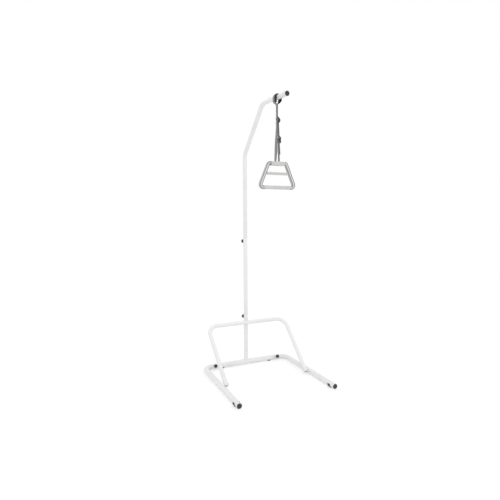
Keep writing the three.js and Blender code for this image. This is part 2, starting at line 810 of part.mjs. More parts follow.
/** Three-bar buckle with bowed cheeks; its bars run along Y, at [set out, drop] from its top corner. */
function buckle(height, bow, bars) {
  const cheek = new THREE.Shape();
  const half = height / 2;
  const r = buckleBarRadius;
  cheek.moveTo(-r, half - r);
  cheek.absarc(0, half - r, r, Math.PI, 0, true);
  cheek.quadraticCurveTo(2 * bow - r, 0, r, r - half);
  cheek.absarc(0, r - half, r, 0, -Math.PI, true);
  cheek.closePath();
  const inner = webbingWidth / 2 + buckleSlotPlay;
  const cheekY = inner + buckleCheekWidth / 2;
  const cheeks = [-1, 1].map((side) => (
    shifted(placed(slab(cheek, buckleCheekWidth, r / 4, 1), standing), 0, side * cheekY, 0)
  ));
  const rods = bars.map(([x, drop]) => rod(
    new THREE.Vector3(x, -cheekY, half - r - drop),
    new THREE.Vector3(x, cheekY, half - r - drop),
    r,
  ));
  return joined(...cheeks, ...rods);
}

const upperBuckleBars = [
  [0, 0],
  [0, lowerBarDrop],
  [upperBarSetOut, upperBuckleHeight / 2 - buckleBarRadius],
];
add('upper_buckle', shifted(
  buckle(upperBuckleHeight, upperBuckleBow, upperBuckleBars),
  buckleX, 0, upperBarHeight + buckleBarRadius - upperBuckleHeight / 2,
), blackPlastic, strap);

const handleTopHeight = upperBarHeight - handleDrop;
const handleX = buckleX / 2;
const lowerDrop = lowerBuckleHeight - 2 * buckleBarRadius;
const bridgeTop = handleTopHeight;
const bridgeBottom = bridgeTop - bridgeHeight;
const lowerBuckleMiddle = bridgeTop + lowerBuckleRise;
const lowerBuckleTopBar = lowerBuckleMiddle + lowerDrop / 2;
const lowerBuckleBottomBar = lowerBuckleMiddle - lowerDrop / 2;
const lowerBuckle = buckle(lowerBuckleHeight, lowerBuckleBow, [
  [0, 0],
  [lowerBarSetOut, lowerDrop / 2],
  [0, lowerDrop],
]).scale(-1, 1, 1);
add('lower_buckle', shifted(lowerBuckle, lowerBuckleOffset, 0, lowerBuckleMiddle), blackPlastic, strap);

const bridgeWrap = bridgeCorner + webbingClearance + halfWeb;
const strandWrap = barWrap + webbingThickness + clearance;
const strandX = handleX + bridgeCorner - bridgeHalfWidth - bridgeWrap;
const curveTop = lowerBarHeight - strandCurveDrop;
const curveFoot = handleTopHeight + strandCurveRise;
const curveSpan = curveTop - curveFoot;
const curveSpread = -layer - strandX;
const curveRadius = strandCurveShare * (curveSpan ** 2 + curveSpread ** 2) / curveSpread / 4;
add('lower_strap', webbing(belt([
  stop(
    lowerBuckleOffset - barWrap + webbingThickness + webbingClearance,
    lowerBuckleTopBar + sewnFlap,
    0,
    -1,
  ),
  stop(lowerBuckleOffset, lowerBuckleTopBar, barWrap, -1),
  stop(buckleX, lowerBarHeight, barWrap, 1),
  stop(-layer - curveRadius, curveTop, curveRadius, -1),
  stop(strandX + curveRadius, curveFoot, curveRadius, 1),
  stop(strandX + bridgeWrap, bridgeBottom + bridgeCorner, bridgeWrap, 1),
  stop(handleX + bridgeHalfWidth - bridgeCorner, bridgeBottom + bridgeCorner, bridgeWrap, 1),
  stop(lowerBuckleOffset, lowerBuckleBottomBar, strandWrap, -1),
  stop(lowerBuckleOffset - lowerBarSetOut, lowerBuckleMiddle, barWrap, -1),
  stop(lowerBuckleOffset, lowerBuckleBottomBar, barWrap, 1),
  stop(lowerBuckleOffset + halfWeb, lowerBuckleBottomBar - tailLength, 0, 1),
]), webbingThickness, webbingWidth), greyWebbing, strap);

// Handle: a moulded trapezoid with a ribbed finger bar and a slotted saddle for the webbing

const hanger = new THREE.Group();
hanger.position.x = handleX;
strap.add(hanger);

/** Outline with rounded corners, from its corner points and one radius for each. */
function roundedOutline(points, radii) {
  const outline = [];
  const count = points.length;
  for (let i = 0; i < count; i += 1) {
    const corner = points[i];
    const radius = radii[i % radii.length];
    const before = points[(i + count - 1) % count].clone().sub(corner);
    const after = points[(i + 1) % count].clone().sub(corner);
    const half = Math.abs(before.angleTo(after)) / 2;
    const setback = radius / Math.tan(half);
    const curve = new THREE.QuadraticBezierCurve(
      corner.clone().addScaledVector(before.normalize(), setback),
      corner.clone(),
      corner.clone().addScaledVector(after.normalize(), setback),
    );
    outline.push(...curve.getPoints(bendSteps - 2));
  }
  return outline;
}

const handleBottomHeight = handleTopHeight - handleHeight;
const sideSlope = (handleBottomWidth - handleTopWidth) / 2 / handleHeight;
const sideSetIn = handleSideBar * Math.hypot(1, sideSlope);

/** Half width of the handle's outline at a height. */
function outerHalf(height) {
  return handleTopWidth / 2 + sideSlope * (handleTopHeight - height);
}

/** Corner points of a trapezoid between two heights, set in from the outline. */
function trapezoid(bottom, top, inset) {
  return [
    new THREE.Vector2(inset - outerHalf(bottom), bottom),
    new THREE.Vector2(outerHalf(bottom) - inset, bottom),
    new THREE.Vector2(outerHalf(top) - inset, top),
    new THREE.Vector2(inset - outerHalf(top), top),
  ];
}

function handleRing() {
  const ringCorners = [handleBottomCorner, handleBottomCorner, handleTopCorner, handleTopCorner];
  const corners = trapezoid(handleBottomHeight, handleTopHeight, 0);
  const outline = new THREE.Shape(roundedOutline(corners, ringCorners));
  const window = trapezoid(handleBottomHeight + handleBottomBar, handleTopHeight - handleTopBar, sideSetIn);
  outline.holes.push(new THREE.Path(roundedOutline(window, [handleInnerCorner])));
  return placed(slab(outline, handleDepth, handleRound, 2), standing);
}

const gripHeight = handleTopHeight - gripBarDrop;
const gripReach = outerHalf(gripHeight) - sideSetIn / 2;

/** Ribbed sleeve on X that turns the core bar into a finger grip. */
function ribbedGrip() {
  const bore = gripCoreRadius + clearance;
  const pitch = gripLength / gripRibCount;
  const profile = [[bore, -gripLength / 2], [gripSleeveRadius, -gripLength / 2]];
  for (let i = 0; i < gripRibCount; i += 1) {
    for (const share of gripRibShares) {
      const swell = gripRibHeight * Math.sin(Math.PI * share) ** 2;
      profile.push([gripSleeveRadius + swell, pitch * (i + share) - gripLength / 2]);
    }
  }
  profile.push([gripSleeveRadius, gripLength / 2], [bore, gripLength / 2], [bore, -gripLength / 2]);
  return turned(profile, tubeSides).rotateY(Math.PI / 2).translate(0, 0, gripHeight);
}

/** Block on the top bar that the webbing passes through. */
function saddleBlock() {
  const half = saddleWidth / 2;
  const block = new THREE.Shape(roundedOutline([
    new THREE.Vector2(-half, handleTopHeight - saddleHeight),
    new THREE.Vector2(half, handleTopHeight - saddleHeight),
    new THREE.Vector2(half, handleTopHeight),
    new THREE.Vector2(-half, handleTopHeight),
  ], [saddleCorner]));
  return placed(slab(block, saddleDepth, saddleRound, 2), standing);
}

/** Slots and pocket for the webbing, as one tool. */
function strapPassage() {
  const slotLength = webbingWidth + 2 * webbingClearance;
  const slotWidth = webbingThickness + webbingClearance + slotPlay;
  const outer = bridgeHalfWidth + slotWidth;
  const bottom = handleTopHeight - saddleHeight - overrun;
  const top = handleTopHeight + overrun;
  const left = new THREE.Shape();
  left.moveTo(-outer, bottom);
  left.lineTo(outer, bottom);
  left.lineTo(outer, top);
  left.lineTo(bridgeHalfWidth, top);
  left.lineTo(bridgeHalfWidth, bridgeBottom + bridgeCorner);
  left.quadraticCurveTo(bridgeHalfWidth, bridgeBottom, bridgeHalfWidth - bridgeCorner, bridgeBottom);
  left.lineTo(bridgeCorner - bridgeHalfWidth, bridgeBottom);
  left.quadraticCurveTo(-bridgeHalfWidth, bridgeBottom, -bridgeHalfWidth, bridgeBottom + bridgeCorner);
  left.lineTo(-bridgeHalfWidth, top);
  left.lineTo(-outer, top);
  left.closePath();
  return placed(slab(left, slotLength), standing);
}

/** Shallow groove down the middle of a side bar, cut in a face. */
function sideGroove(side, face) {
  const middle = (height) => side * (outerHalf(height) - sideSetIn / 2);
  const top = handleTopHeight - handleTopBar - handleInnerCorner / 2;
  const bottom = handleBottomHeight + handleBottomBar;
  const half = grooveWidth / 2;
  const groove = new THREE.Shape(roundedOutline([
    new THREE.Vector2(middle(bottom) - half, bottom),
    new THREE.Vector2(middle(bottom) + half, bottom),
    new THREE.Vector2(middle(top) + half, top),
    new THREE.Vector2(middle(top) - half, top),
  ], [grooveCorner]));
  const depth = 2 * grooveDepth;
  return shifted(placed(slab(groove, depth), standing), 0, face * handleDepth / 2, 0);
}

const grooves = [[-1, -1], [-1, 1], [1, -1], [1, 1]].map(([side, face]) => sideGroove(side, face));
const gripCore = rod(
  new THREE.Vector3(-gripReach, 0, gripHeight),
  new THREE.Vector3(gripReach, 0, gripHeight),
  gripCoreRadius,
);
add('trapeze_handle', cut(
  joined(handleRing(), saddleBlock(), gripCore),
  strapPassage(), ...grooves,
), greyPlastic, hanger);
add('ribbed_grip', ribbedGrip(), greyPlastic, hanger);

export default object;
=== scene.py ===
"""Looks of a free-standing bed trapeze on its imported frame.

Lengths in the classes are millimetres, measured from the point on the floor under the
mast's axis: X runs along the cross tube, -Y towards the legs' ends, Z up.
"""

import json
import logging
import math
from collections.abc import Callable, Iterable, Sequence
from dataclasses import dataclass, field
from enum import Enum

import bmesh
import bpy
from bmesh.types import BMEdge, BMesh, BMVert
from mathutils import Matrix, Vector

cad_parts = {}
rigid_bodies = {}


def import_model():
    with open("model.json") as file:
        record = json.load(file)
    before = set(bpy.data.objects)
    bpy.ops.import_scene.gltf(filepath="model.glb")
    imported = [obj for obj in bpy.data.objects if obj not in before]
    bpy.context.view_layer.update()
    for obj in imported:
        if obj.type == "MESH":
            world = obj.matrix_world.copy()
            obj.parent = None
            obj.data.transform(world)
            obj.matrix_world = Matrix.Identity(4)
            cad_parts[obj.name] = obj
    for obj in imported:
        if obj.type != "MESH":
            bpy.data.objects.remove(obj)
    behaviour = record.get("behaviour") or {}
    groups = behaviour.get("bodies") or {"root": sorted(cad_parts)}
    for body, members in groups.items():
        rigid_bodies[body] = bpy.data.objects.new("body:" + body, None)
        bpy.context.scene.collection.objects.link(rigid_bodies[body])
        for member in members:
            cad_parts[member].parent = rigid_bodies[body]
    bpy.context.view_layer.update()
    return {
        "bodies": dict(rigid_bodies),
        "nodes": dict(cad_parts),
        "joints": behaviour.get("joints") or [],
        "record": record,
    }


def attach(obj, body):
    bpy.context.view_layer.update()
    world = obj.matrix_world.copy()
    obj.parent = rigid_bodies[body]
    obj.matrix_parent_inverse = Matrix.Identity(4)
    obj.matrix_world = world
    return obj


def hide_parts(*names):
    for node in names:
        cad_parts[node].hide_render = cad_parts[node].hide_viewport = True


log = logging.getLogger("bed_trapeze")

MILLIMETRE = 0.001
MAST_Y = 310.1
CLEARANCE = 0.3
MERGE = 1e-4
PLUG_STANDOUT = 3.0
SHARP_ANGLE = math.radians(34)
X_AXIS = Vector((1, 0, 0))
Y_AXIS = Vector((0, 1, 0))
Z_AXIS = Vector((0, 0, 1))

Colour = tuple[float, float, float]


class Slot(Enum):
    """Material slots of the record."""

    PAINT = "white_paint"
    PLASTIC = "black_plastic"
    ZINC = "zinc_steel"
    SLEEVE = "sleeve_rubber"
    WEBBING = "grey_webbing"
    HANDLE = "handle_plastic"


class Body(Enum):
    """Rigid bodies of the frame that pieces ride on."""

    BASE = "base_frame"
    LEFT_KNOB = "left_leg_knob"
    RIGHT_KNOB = "right_leg_knob"
    LOWER_KNOB = "lower_mast_knob"
    UPPER_KNOB = "upper_mast_knob"
    MIDDLE = "mast_middle"
    BOOM = "boom"
    STRAP = "boom_strap"
    HANDLE = "handle_unit"


class Side(Enum):
    """Sides of the stand, with the sign of their x."""

    LEFT = -1
    RIGHT = 1

    @property
    def label(self) -> str:
        """Word for the side in the names of pieces and nodes."""
        return self.name.lower()


class Value:
    """A number in a material's node tree; arithmetic on it adds Math nodes."""

    def __init__(self, graph: "Graph", socket: bpy.types.NodeSocket) -> None:
        """Wrap an output socket of a node tree."""
        self.graph = graph
        self.socket = socket

    def maths(self, operation: str, *others: "Value | float") -> "Value":
        """Add a Math node that starts from this value."""
        inputs = dict(enumerate((self, *others)))
        return self.graph.value("ShaderNodeMath", {"operation": operation}, inputs)

    def __add__(self, other: "Value | float") -> "Value":
        """Sum."""
        return self.maths("ADD", other)

    __radd__ = __add__

    def __sub__(self, other: "Value | float") -> "Value":
        """Difference."""
        return self.maths("SUBTRACT", other)

    def __rsub__(self, other: float) -> "Value":
        """Difference from a number on the left."""
        return self.maths("MULTIPLY_ADD", -1.0, other)

    def __mul__(self, other: "Value | float") -> "Value":
        """Product."""
        return self.maths("MULTIPLY", other)

    __rmul__ = __mul__

    def __truediv__(self, other: "Value | float") -> "Value":
        """Quotient."""
        return self.maths("DIVIDE", other)

    def __abs__(self) -> "Value":
        """Size without its sign."""
        return self.maths("ABSOLUTE")

    def wave(self, period: float) -> "Value":
        """Sine wave between 0 and 1, with its period in the value's own unit."""
        return (self * (2 * math.pi / period)).maths("SINE") * 0.5 + 0.5

    def between(self, low: float, high: float) -> "Value":
        """Smooth step from 0 at one value to 1 at another.

        Args:
            low: Value that gives 0.
            high: Value that gives 1.

        Returns:
            The step.
        """
        return self.graph.value(
            "ShaderNodeMapRange",
            {"interpolation_type": "SMOOTHSTEP"},
            {"Value": self, "From Min": low, "From Max": high, "To Min": 0.0, "To Max": 1.0},
        )


class Graph:
    """Node tree of a material or a world, built around its own shader."""

    def __init__(self, name: str, world: bool = False) -> None:
        """Start a material or a world.

        Args:
            name: Its name.
            world: Whether it is a world.
        """
        self.owner = (bpy.data.worlds if world else bpy.data.materials).new(name)
        self.owner.use_nodes = True
        self.tree = self.owner.node_tree
        self.shader = self.tree.nodes["Background" if world else "Principled BSDF"]
        self.output = self.tree.nodes["World Output" if world else "Material Output"]

    def node(self, kind: str, settings: dict, inputs: dict) -> bpy.types.Node:
        """Add a node.

        Args:
            kind: Node type.
            settings: Properties that are set first.
            inputs: Values or links, by the name or number of the socket.

        Returns:
            The node.
        """
        made = self.tree.nodes.new(kind)
        for key, setting in settings.items():
            setattr(made, key, setting)
        for key, given in inputs.items():
            self.feed(made.inputs[key], given)
        return made

    def feed(self, socket: bpy.types.NodeSocket, given: object) -> None:
        """Link or set a socket.

        Args:
            socket: Input to feed.
            given: A value, an output socket or a constant.
        """
        if isinstance(given, Value):
            given = given.socket
        if isinstance(given, bpy.types.NodeSocket):
            self.tree.links.new(given, socket)
        else:
            socket.default_value = given

    def value(self, kind: str, settings: dict, inputs: dict, output: int | str = 0) -> Value:
        """Add a node, as node does, and wrap one of its outputs."""
        return Value(self, self.node(kind, settings, inputs).outputs[output])

    def place(self) -> bpy.types.NodeSocket:
        """Place on the object, in metres."""
        return self.node("ShaderNodeTexCoord", {}, {}).outputs["Object"]

    def axes(self) -> tuple[Value, Value, Value]:
        """X, y and z of the place on the object, in metres."""
        split = self.node("ShaderNodeSeparateXYZ", {}, {0: self.place()})
        return Value(self, split.outputs[0]), Value(self, split.outputs[1]), Value(self, split.outputs[2])

    def run(self) -> Value:
        """Distance along a swept piece, in millimetres."""
        return self.value("ShaderNodeAttribute", {"attribute_name": "run"}, {}, "Fac")

    def noise(self, scale: float, detail: float = 3.0, roughness: float = 0.5) -> Value:
        """Noise between 0 and 1 on the object's place, with its scale in cells to a metre."""
        inputs = {"Vector": self.place(), "Scale": scale, "Detail": detail, "Roughness": roughness}
        return self.value("ShaderNodeTexNoise", {"noise_dimensions": "3D"}, inputs, 0)

    def blend(self, share: Value, low: Sequence[float], high: Sequence[float]) -> bpy.types.NodeSocket:
        """Mix two colours.

        Args:
            share: Share of the second colour.
            low: First colour.
            high: Second colour.

        Returns:
            The mixed colour.
        """
        settings = {"data_type": "RGBA", "clamp_factor": True}
        mixed = self.node("ShaderNodeMix", settings, {"Factor": share, 6: (*low, 1.0), 7: (*high, 1.0)})
        return mixed.outputs[2]

    def bump(self, height: Value, depth: float) -> None:
        """Feed the shader's normal from a relief between 0 and 1, with its depth in millimetres."""
        inputs = {"Height": height, "Distance": depth * MILLIMETRE, "Strength": 1.0}
        self.set(normal=self.node("ShaderNodeBump", {}, inputs).outputs["Normal"])

    def set(self, **sockets: object) -> None:
        """Feed the shader's sockets.

        Args:
            sockets: What each takes, with the socket's name in snake case.
        """
        for key, given in sockets.items():
            title = key.replace("_", " ").title().replace("Ior", "IOR")
            self.feed(self.shader.inputs[title], given)

    def split(self, seen: bpy.types.Node, other: bpy.types.Node) -> None:
        """Show one shader to the camera and another to every other ray.

        Args:
            seen: Shader that the camera sees, straight, in a gloss or through glass.
            other: Shader that lights the object.
        """
        rays = self.node("ShaderNodeLightPath", {}, {}).outputs
        direct = Value(self, rays["Is Camera Ray"]).maths("MAXIMUM", rays["Is Glossy Ray"])
        share = direct.maths("MAXIMUM", rays["Is Transmission Ray"])
        mixed = self.node("ShaderNodeMixShader", {}, {0: share, 1: other.outputs[0], 2: seen.outputs[0]})
        self.feed(self.output.inputs["Surface"], mixed.outputs[0])


@dataclass(frozen=True)
class Finish:
    """A look that pieces wear: its name and the slot of the record that it fills."""

    name: str
    slot: Slot

    def material(self) -> bpy.types.Material:
        """Build the finish's nodes."""
        raise NotImplementedError


@dataclass(frozen=True)
class EpoxyPaint(Finish):
    """White powder coat on steel tube: glossy, with a fine orange peel."""

    colour: Colour = (0.83, 0.83, 0.825)
    shade: Colour = (0.79, 0.79, 0.782)
    roughness: float = 0.28
    peel: float = 0.03

    def material(self) -> bpy.types.Material:
        """Build the paint's nodes.

        Returns:
            The material.
        """
        graph = Graph(self.name)
        drift = graph.noise(9.0, 4.0)
        fine = graph.noise(520.0, 2.0)
        cast = drift.between(0.42, 0.78)
        graph.set(base_color=graph.blend(cast, self.colour, self.shade))
        graph.set(roughness=self.roughness + 0.10 * cast + 0.05 * fine)
        graph.set(coat_weight=0.25, coat_roughness=0.12)
        graph.bump(fine, self.peel)
        return graph.owner


@dataclass(frozen=True)
class MouldedPlastic(Finish):
    """Injection-moulded plastic with a fine eroded grain."""

    colour: Colour
    shade: Colour
    roughness: float = 0.45
    grain: float = 0.05
    cells: float = 1400.0

    def material(self) -> bpy.types.Material:
        """Build the plastic's nodes.

        Returns:
            The material.
        """
        graph = Graph(self.name)
        flow = graph.noise(38.0, 3.0)
        grain = graph.noise(self.cells, 2.0, 0.6)
        cast = flow.between(0.35, 0.7)
        graph.set(base_color=graph.blend(cast, self.colour, self.shade))
        graph.set(roughness=self.roughness + 0.12 * cast - 0.08 * grain)
        graph.bump(grain, self.grain)
        return graph.owner


@dataclass(frozen=True)
class ZincPlate(Finish):
    """Bright zinc plating on a fastener, with faint turning marks and dull patches."""

    colour: Colour = (0.84, 0.85, 0.86)
    dull: Colour = (0.66, 0.67, 0.68)

    def material(self) -> bpy.types.Material:
        """Build the plating's nodes.

        Returns:
            The material.
        """
        graph = Graph(self.name)
        patches = graph.noise(160.0, 4.0).between(0.4, 0.72)
        marks = graph.noise(2600.0, 1.0)
        graph.set(base_color=graph.blend(patches, self.colour, self.dull), metallic=1.0)
        graph.set(roughness=0.22 + 0.22 * patches + 0.06 * marks)
        graph.bump(marks, 0.02)
        return graph.owner


@dataclass(frozen=True)
class WovenWebbing(Finish):
    """Polyester webbing: crossing yarns with painted shade in their valleys, and dense selvedges that are
    darker towards the edges.
    """

    centre: float
    width: float = 20.0
    colour: Colour = (0.340, 0.332, 0.320)
    # Painted shade: the darker colour that the weave's valleys take.
    valley_painted_shade: Colour = (0.185, 0.180, 0.173)
    pick: float = 1.5
    end: float = 1.25

    def material(self) -> bpy.types.Material:
        """Build the weave's nodes.

        Returns:
            The material.
        """
        graph = Graph(self.name)
        across = (graph.axes()[1] - (MAST_Y + self.centre) * MILLIMETRE) / MILLIMETRE
        along = graph.run()
        picks = along.wave(self.pick)
        ends = across.wave(self.end)
        shifted = (along + self.pick / 2).wave(self.pick)
        weave = picks * ends + shifted * (1.0 - ends)
        selvedge = abs(across).between(self.width / 2 - 4.6, self.width / 2 - 3.0)
        fuzz = graph.noise(1800.0, 2.0)
        relief = weave * (1.0 - 0.5 * selvedge) + 0.35 * fuzz
        drift = graph.noise(45.0, 3.0)
        # Share of the yarn colour: the weave's valleys take the painted shade colour, and the share also
        # drops towards the edges.
        share = (weave * 0.65 + drift * 0.5 - 0.55 * selvedge).maths("MINIMUM", 1.0)
        graph.set(base_color=graph.blend(share, self.valley_painted_shade, self.colour))
        graph.set(roughness=0.86 + 0.08 * drift, sheen_weight=0.25, specular_ior_level=0.25)
        graph.bump(relief, 0.35)
        return graph.owner


@dataclass(frozen=True)
class RubberSleeve(Finish):
    """Black ribbed elastomer that lines the strap's loop."""

    colour: Colour = (0.012, 0.012, 0.013)
    dust: Colour = (0.028, 0.028, 0.027)
    pitch: float = 2.4

    def material(self) -> bpy.types.Material:
        """Build the elastomer's nodes.

        Returns:
            The material.
        """
        graph = Graph(self.name)
        ribs = graph.run().wave(self.pitch)
        dust = graph.noise(90.0, 4.0).between(0.45, 0.8)
        graph.set(base_color=graph.blend(dust * 0.7, self.colour, self.dust))
        graph.set(roughness=0.62 + 0.2 * dust, specular_ior_level=0.3)
        graph.bump(ribs + 0.3 * graph.noise(900.0), 0.25)
        return graph.owner


@dataclass(frozen=True)
class StitchThread(Finish):
    """Sewing thread, a little lighter than the webbing."""

    colour: Colour = (0.40, 0.39, 0.375)
    shade: Colour = (0.22, 0.215, 0.205)

    def material(self) -> bpy.types.Material:
        """Build the thread's nodes.

        Returns:
            The material.
        """
        graph = Graph(self.name)
        twist = graph.noise(2400.0, 2.0)
        graph.set(base_color=graph.blend(twist, self.shade, self.colour), roughness=0.7)
        graph.bump(twist, 0.1)
        return graph.owner


class Solid:
    """A bmesh in millimetres from the mast's foot, with the operators that shape it."""

    def __init__(self) -> None:
        """Start with nothing."""
        self.bm = bmesh.new()
        self.run = self.bm.verts.layers.float.new("run")

    def ring(
        self, radius: float, sides: int, matrix: Matrix, shape: Callable[[float], float] | None = None
    ) -> list[BMEdge]:
        """Add a closed loop of edges.

        Args:
            radius: Radius of the loop.
            sides: Number of its edges.
            matrix: Takes the XY plane to the loop's place.
            shape: Factor on the radius for an angle, for lobes or flats.

        Returns:
            The loop's edges.
        """
        verts = bmesh.ops.create_circle(self.bm, segments=sides, radius=radius, matrix=Matrix())["verts"]
        if shape:
            for vert in verts:
                vert.co *= shape(math.atan2(vert.co.y, vert.co.x))
        bmesh.ops.transform(self.bm, matrix=matrix, verts=verts)
        return list({edge for vert in verts for edge in vert.link_edges})

    def outline(
        self, points: Sequence[tuple[float, float]], matrix: Matrix, rounding: float = 0.0, steps: int = 3
    ) -> list[BMEdge]:
        """Add a closed loop through corner points.

        Args:
            points: Corners in the XY plane.
            matrix: Takes that plane to the loop's place.
            rounding: Radius at the corners.
            steps: Segments of each rounded corner.

        Returns:
            The loop's edges.
        """
        verts = [self.bm.verts.new((x, y, 0)) for x, y in points]
        edges = [self.bm.edges.new((a, b)) for a, b in zip(verts, verts[1:] + verts[:1])]
        if rounding:
            made = bmesh.ops.bevel(
                self.bm, geom=verts, offset=rounding, segments=steps, affect="VERTICES", profile=0.5,
                material=-1,
            )
            kept = [edge for edge in [*edges, *made["edges"]] if edge.is_valid]
            verts = list({vert for edge in kept for vert in edge.verts})
            edges = list({edge for vert in verts for edge in vert.link_edges})
        bmesh.ops.transform(self.bm, matrix=matrix, verts=verts)
        return edges

    def extend(self, edges: Sequence[BMEdge], matrix: Matrix, run: float = 0.0) -> list[BMEdge]:
        """Extrude loops and transform the new ones.

        Args:
            edges: Edges of the loops.
            matrix: Transform of the new loops.
            run: Distance along the piece that the new loops lie at.

        Returns:
            The new loops' edges.
        """
        made = bmesh.ops.extrude_edge_only(self.bm, edges=edges)["geom"]
        verts = [item for item in made if isinstance(item, BMVert)]
        bmesh.ops.transform(self.bm, matrix=matrix, verts=verts)
        for vert in verts:
            vert[self.run] = run
        fresh = set(verts)
        return [item for item in made if isinstance(item, BMEdge) and fresh.issuperset(item.verts)]

    def cap(self, edges: Sequence[BMEdge]) -> None:
        """Fill a loop with a face."""
        bmesh.ops.contextual_create(self.bm, geom=edges)

    def loft(self, loops: Iterable[list[BMEdge]]) -> list[BMEdge]:
        """Close the first loop and join each one to the next.

        Args:
            loops: Loops of edges, in order.

        Returns:
            The last loop, still open.
        """
        front: list[BMEdge] = []
        for loop in loops:
            if front:
                bmesh.ops.bridge_loops(self.bm, edges=front + loop)
            else:
                self.cap(loop)
            front = loop
        return front

    def bevel(self, edges: Sequence[BMEdge], offset: float, segments: int = 2) -> None:
        """Round edges.

        Args:
            edges: Edges to round.
            offset: Width of the rounding.
            segments: Steps of the rounding.
        """
        bmesh.ops.bevel(
            self.bm, geom=edges, offset=offset, segments=segments, affect="EDGES", profile=0.5, material=-1,
            clamp_overlap=True,
        )

    def turned(self, profile: Sequence[tuple[float, float]], matrix: Matrix, steps: int = 40) -> None:
        """Spin a profile round the Z axis.

        Args:
            profile: Pairs of radius and height.
            matrix: Takes the Z axis to the piece's own.
            steps: Steps of the full turn.
        """
        verts = [self.bm.verts.new((radius, 0, height)) for radius, height in profile]
        edges = [self.bm.edges.new(pair) for pair in zip(verts, verts[1:])]
        before = set(self.bm.verts) - set(verts)
        bmesh.ops.spin(
            self.bm, geom=[*verts, *edges], cent=(0, 0, 0), axis=Z_AXIS, angle=2 * math.pi, steps=steps,
            use_merge=True, use_duplicate=False,
        )
        made = [vert for vert in self.bm.verts if vert not in before]
        bmesh.ops.transform(self.bm, matrix=matrix, verts=made)
        bmesh.ops.remove_doubles(self.bm, verts=made, dist=MERGE)

    def box(self, size: tuple[float, float, float], matrix: Matrix, rounding: float, steps: int = 2) -> None:
        """Add a block with rounded edges.

        Args:
            size: Its size along its own axes.
            matrix: Place of its middle.
            rounding: Radius of its edges.
            steps: Segments of the rounding.
        """
        cube = bmesh.ops.create_cube(self.bm, size=1.0, matrix=Matrix())["verts"]
        bmesh.ops.transform(self.bm, matrix=matrix @ Matrix.Diagonal((*size, 1.0)), verts=cube)
        self.bevel(list({edge for vert in cube for edge in vert.link_edges}), rounding, steps)

    def close(self, place: Matrix | None = None) -> "Solid":
        """Put the solid in place, merge doubles and point the faces outwards.

        Args:
            place: Takes the solid to its place, where it isn't there yet.

        Returns:
            The solid itself.
        """
        bmesh.ops.transform(self.bm, matrix=place or Matrix(), verts=self.bm.verts)
        bmesh.ops.remove_doubles(self.bm, verts=self.bm.verts, dist=MERGE)
        bmesh.ops.recalc_face_normals(self.bm, faces=self.bm.faces)
        return self


@dataclass(frozen=True)
class Bar:
    """Round thing that a belt bends over; turn is 1 against the clock, -1 with it, seen along +Y."""

    x: float
    z: float
    radius: float
    turn: int

    def heading(self, there: "Bar") -> float:
        """Heading of a belt that leaves this bar for another.

        Args:
            there: The next bar.

        Returns:
            Angle above the X axis.
        """
        step = Vector((there.x - self.x, there.z - self.z))
        lean = math.asin((self.turn * self.radius - there.turn * there.radius) / step.length)
        return math.atan2(step.y, step.x) + lean

    def touch(self, heading: float, y: float) -> Vector:
        """Point where a belt of a heading touches the bar, at the y of the belt's middle."""
        reach = self.turn * self.radius
        return Vector((self.x + reach * math.sin(heading), y, self.z - reach * math.cos(heading)))


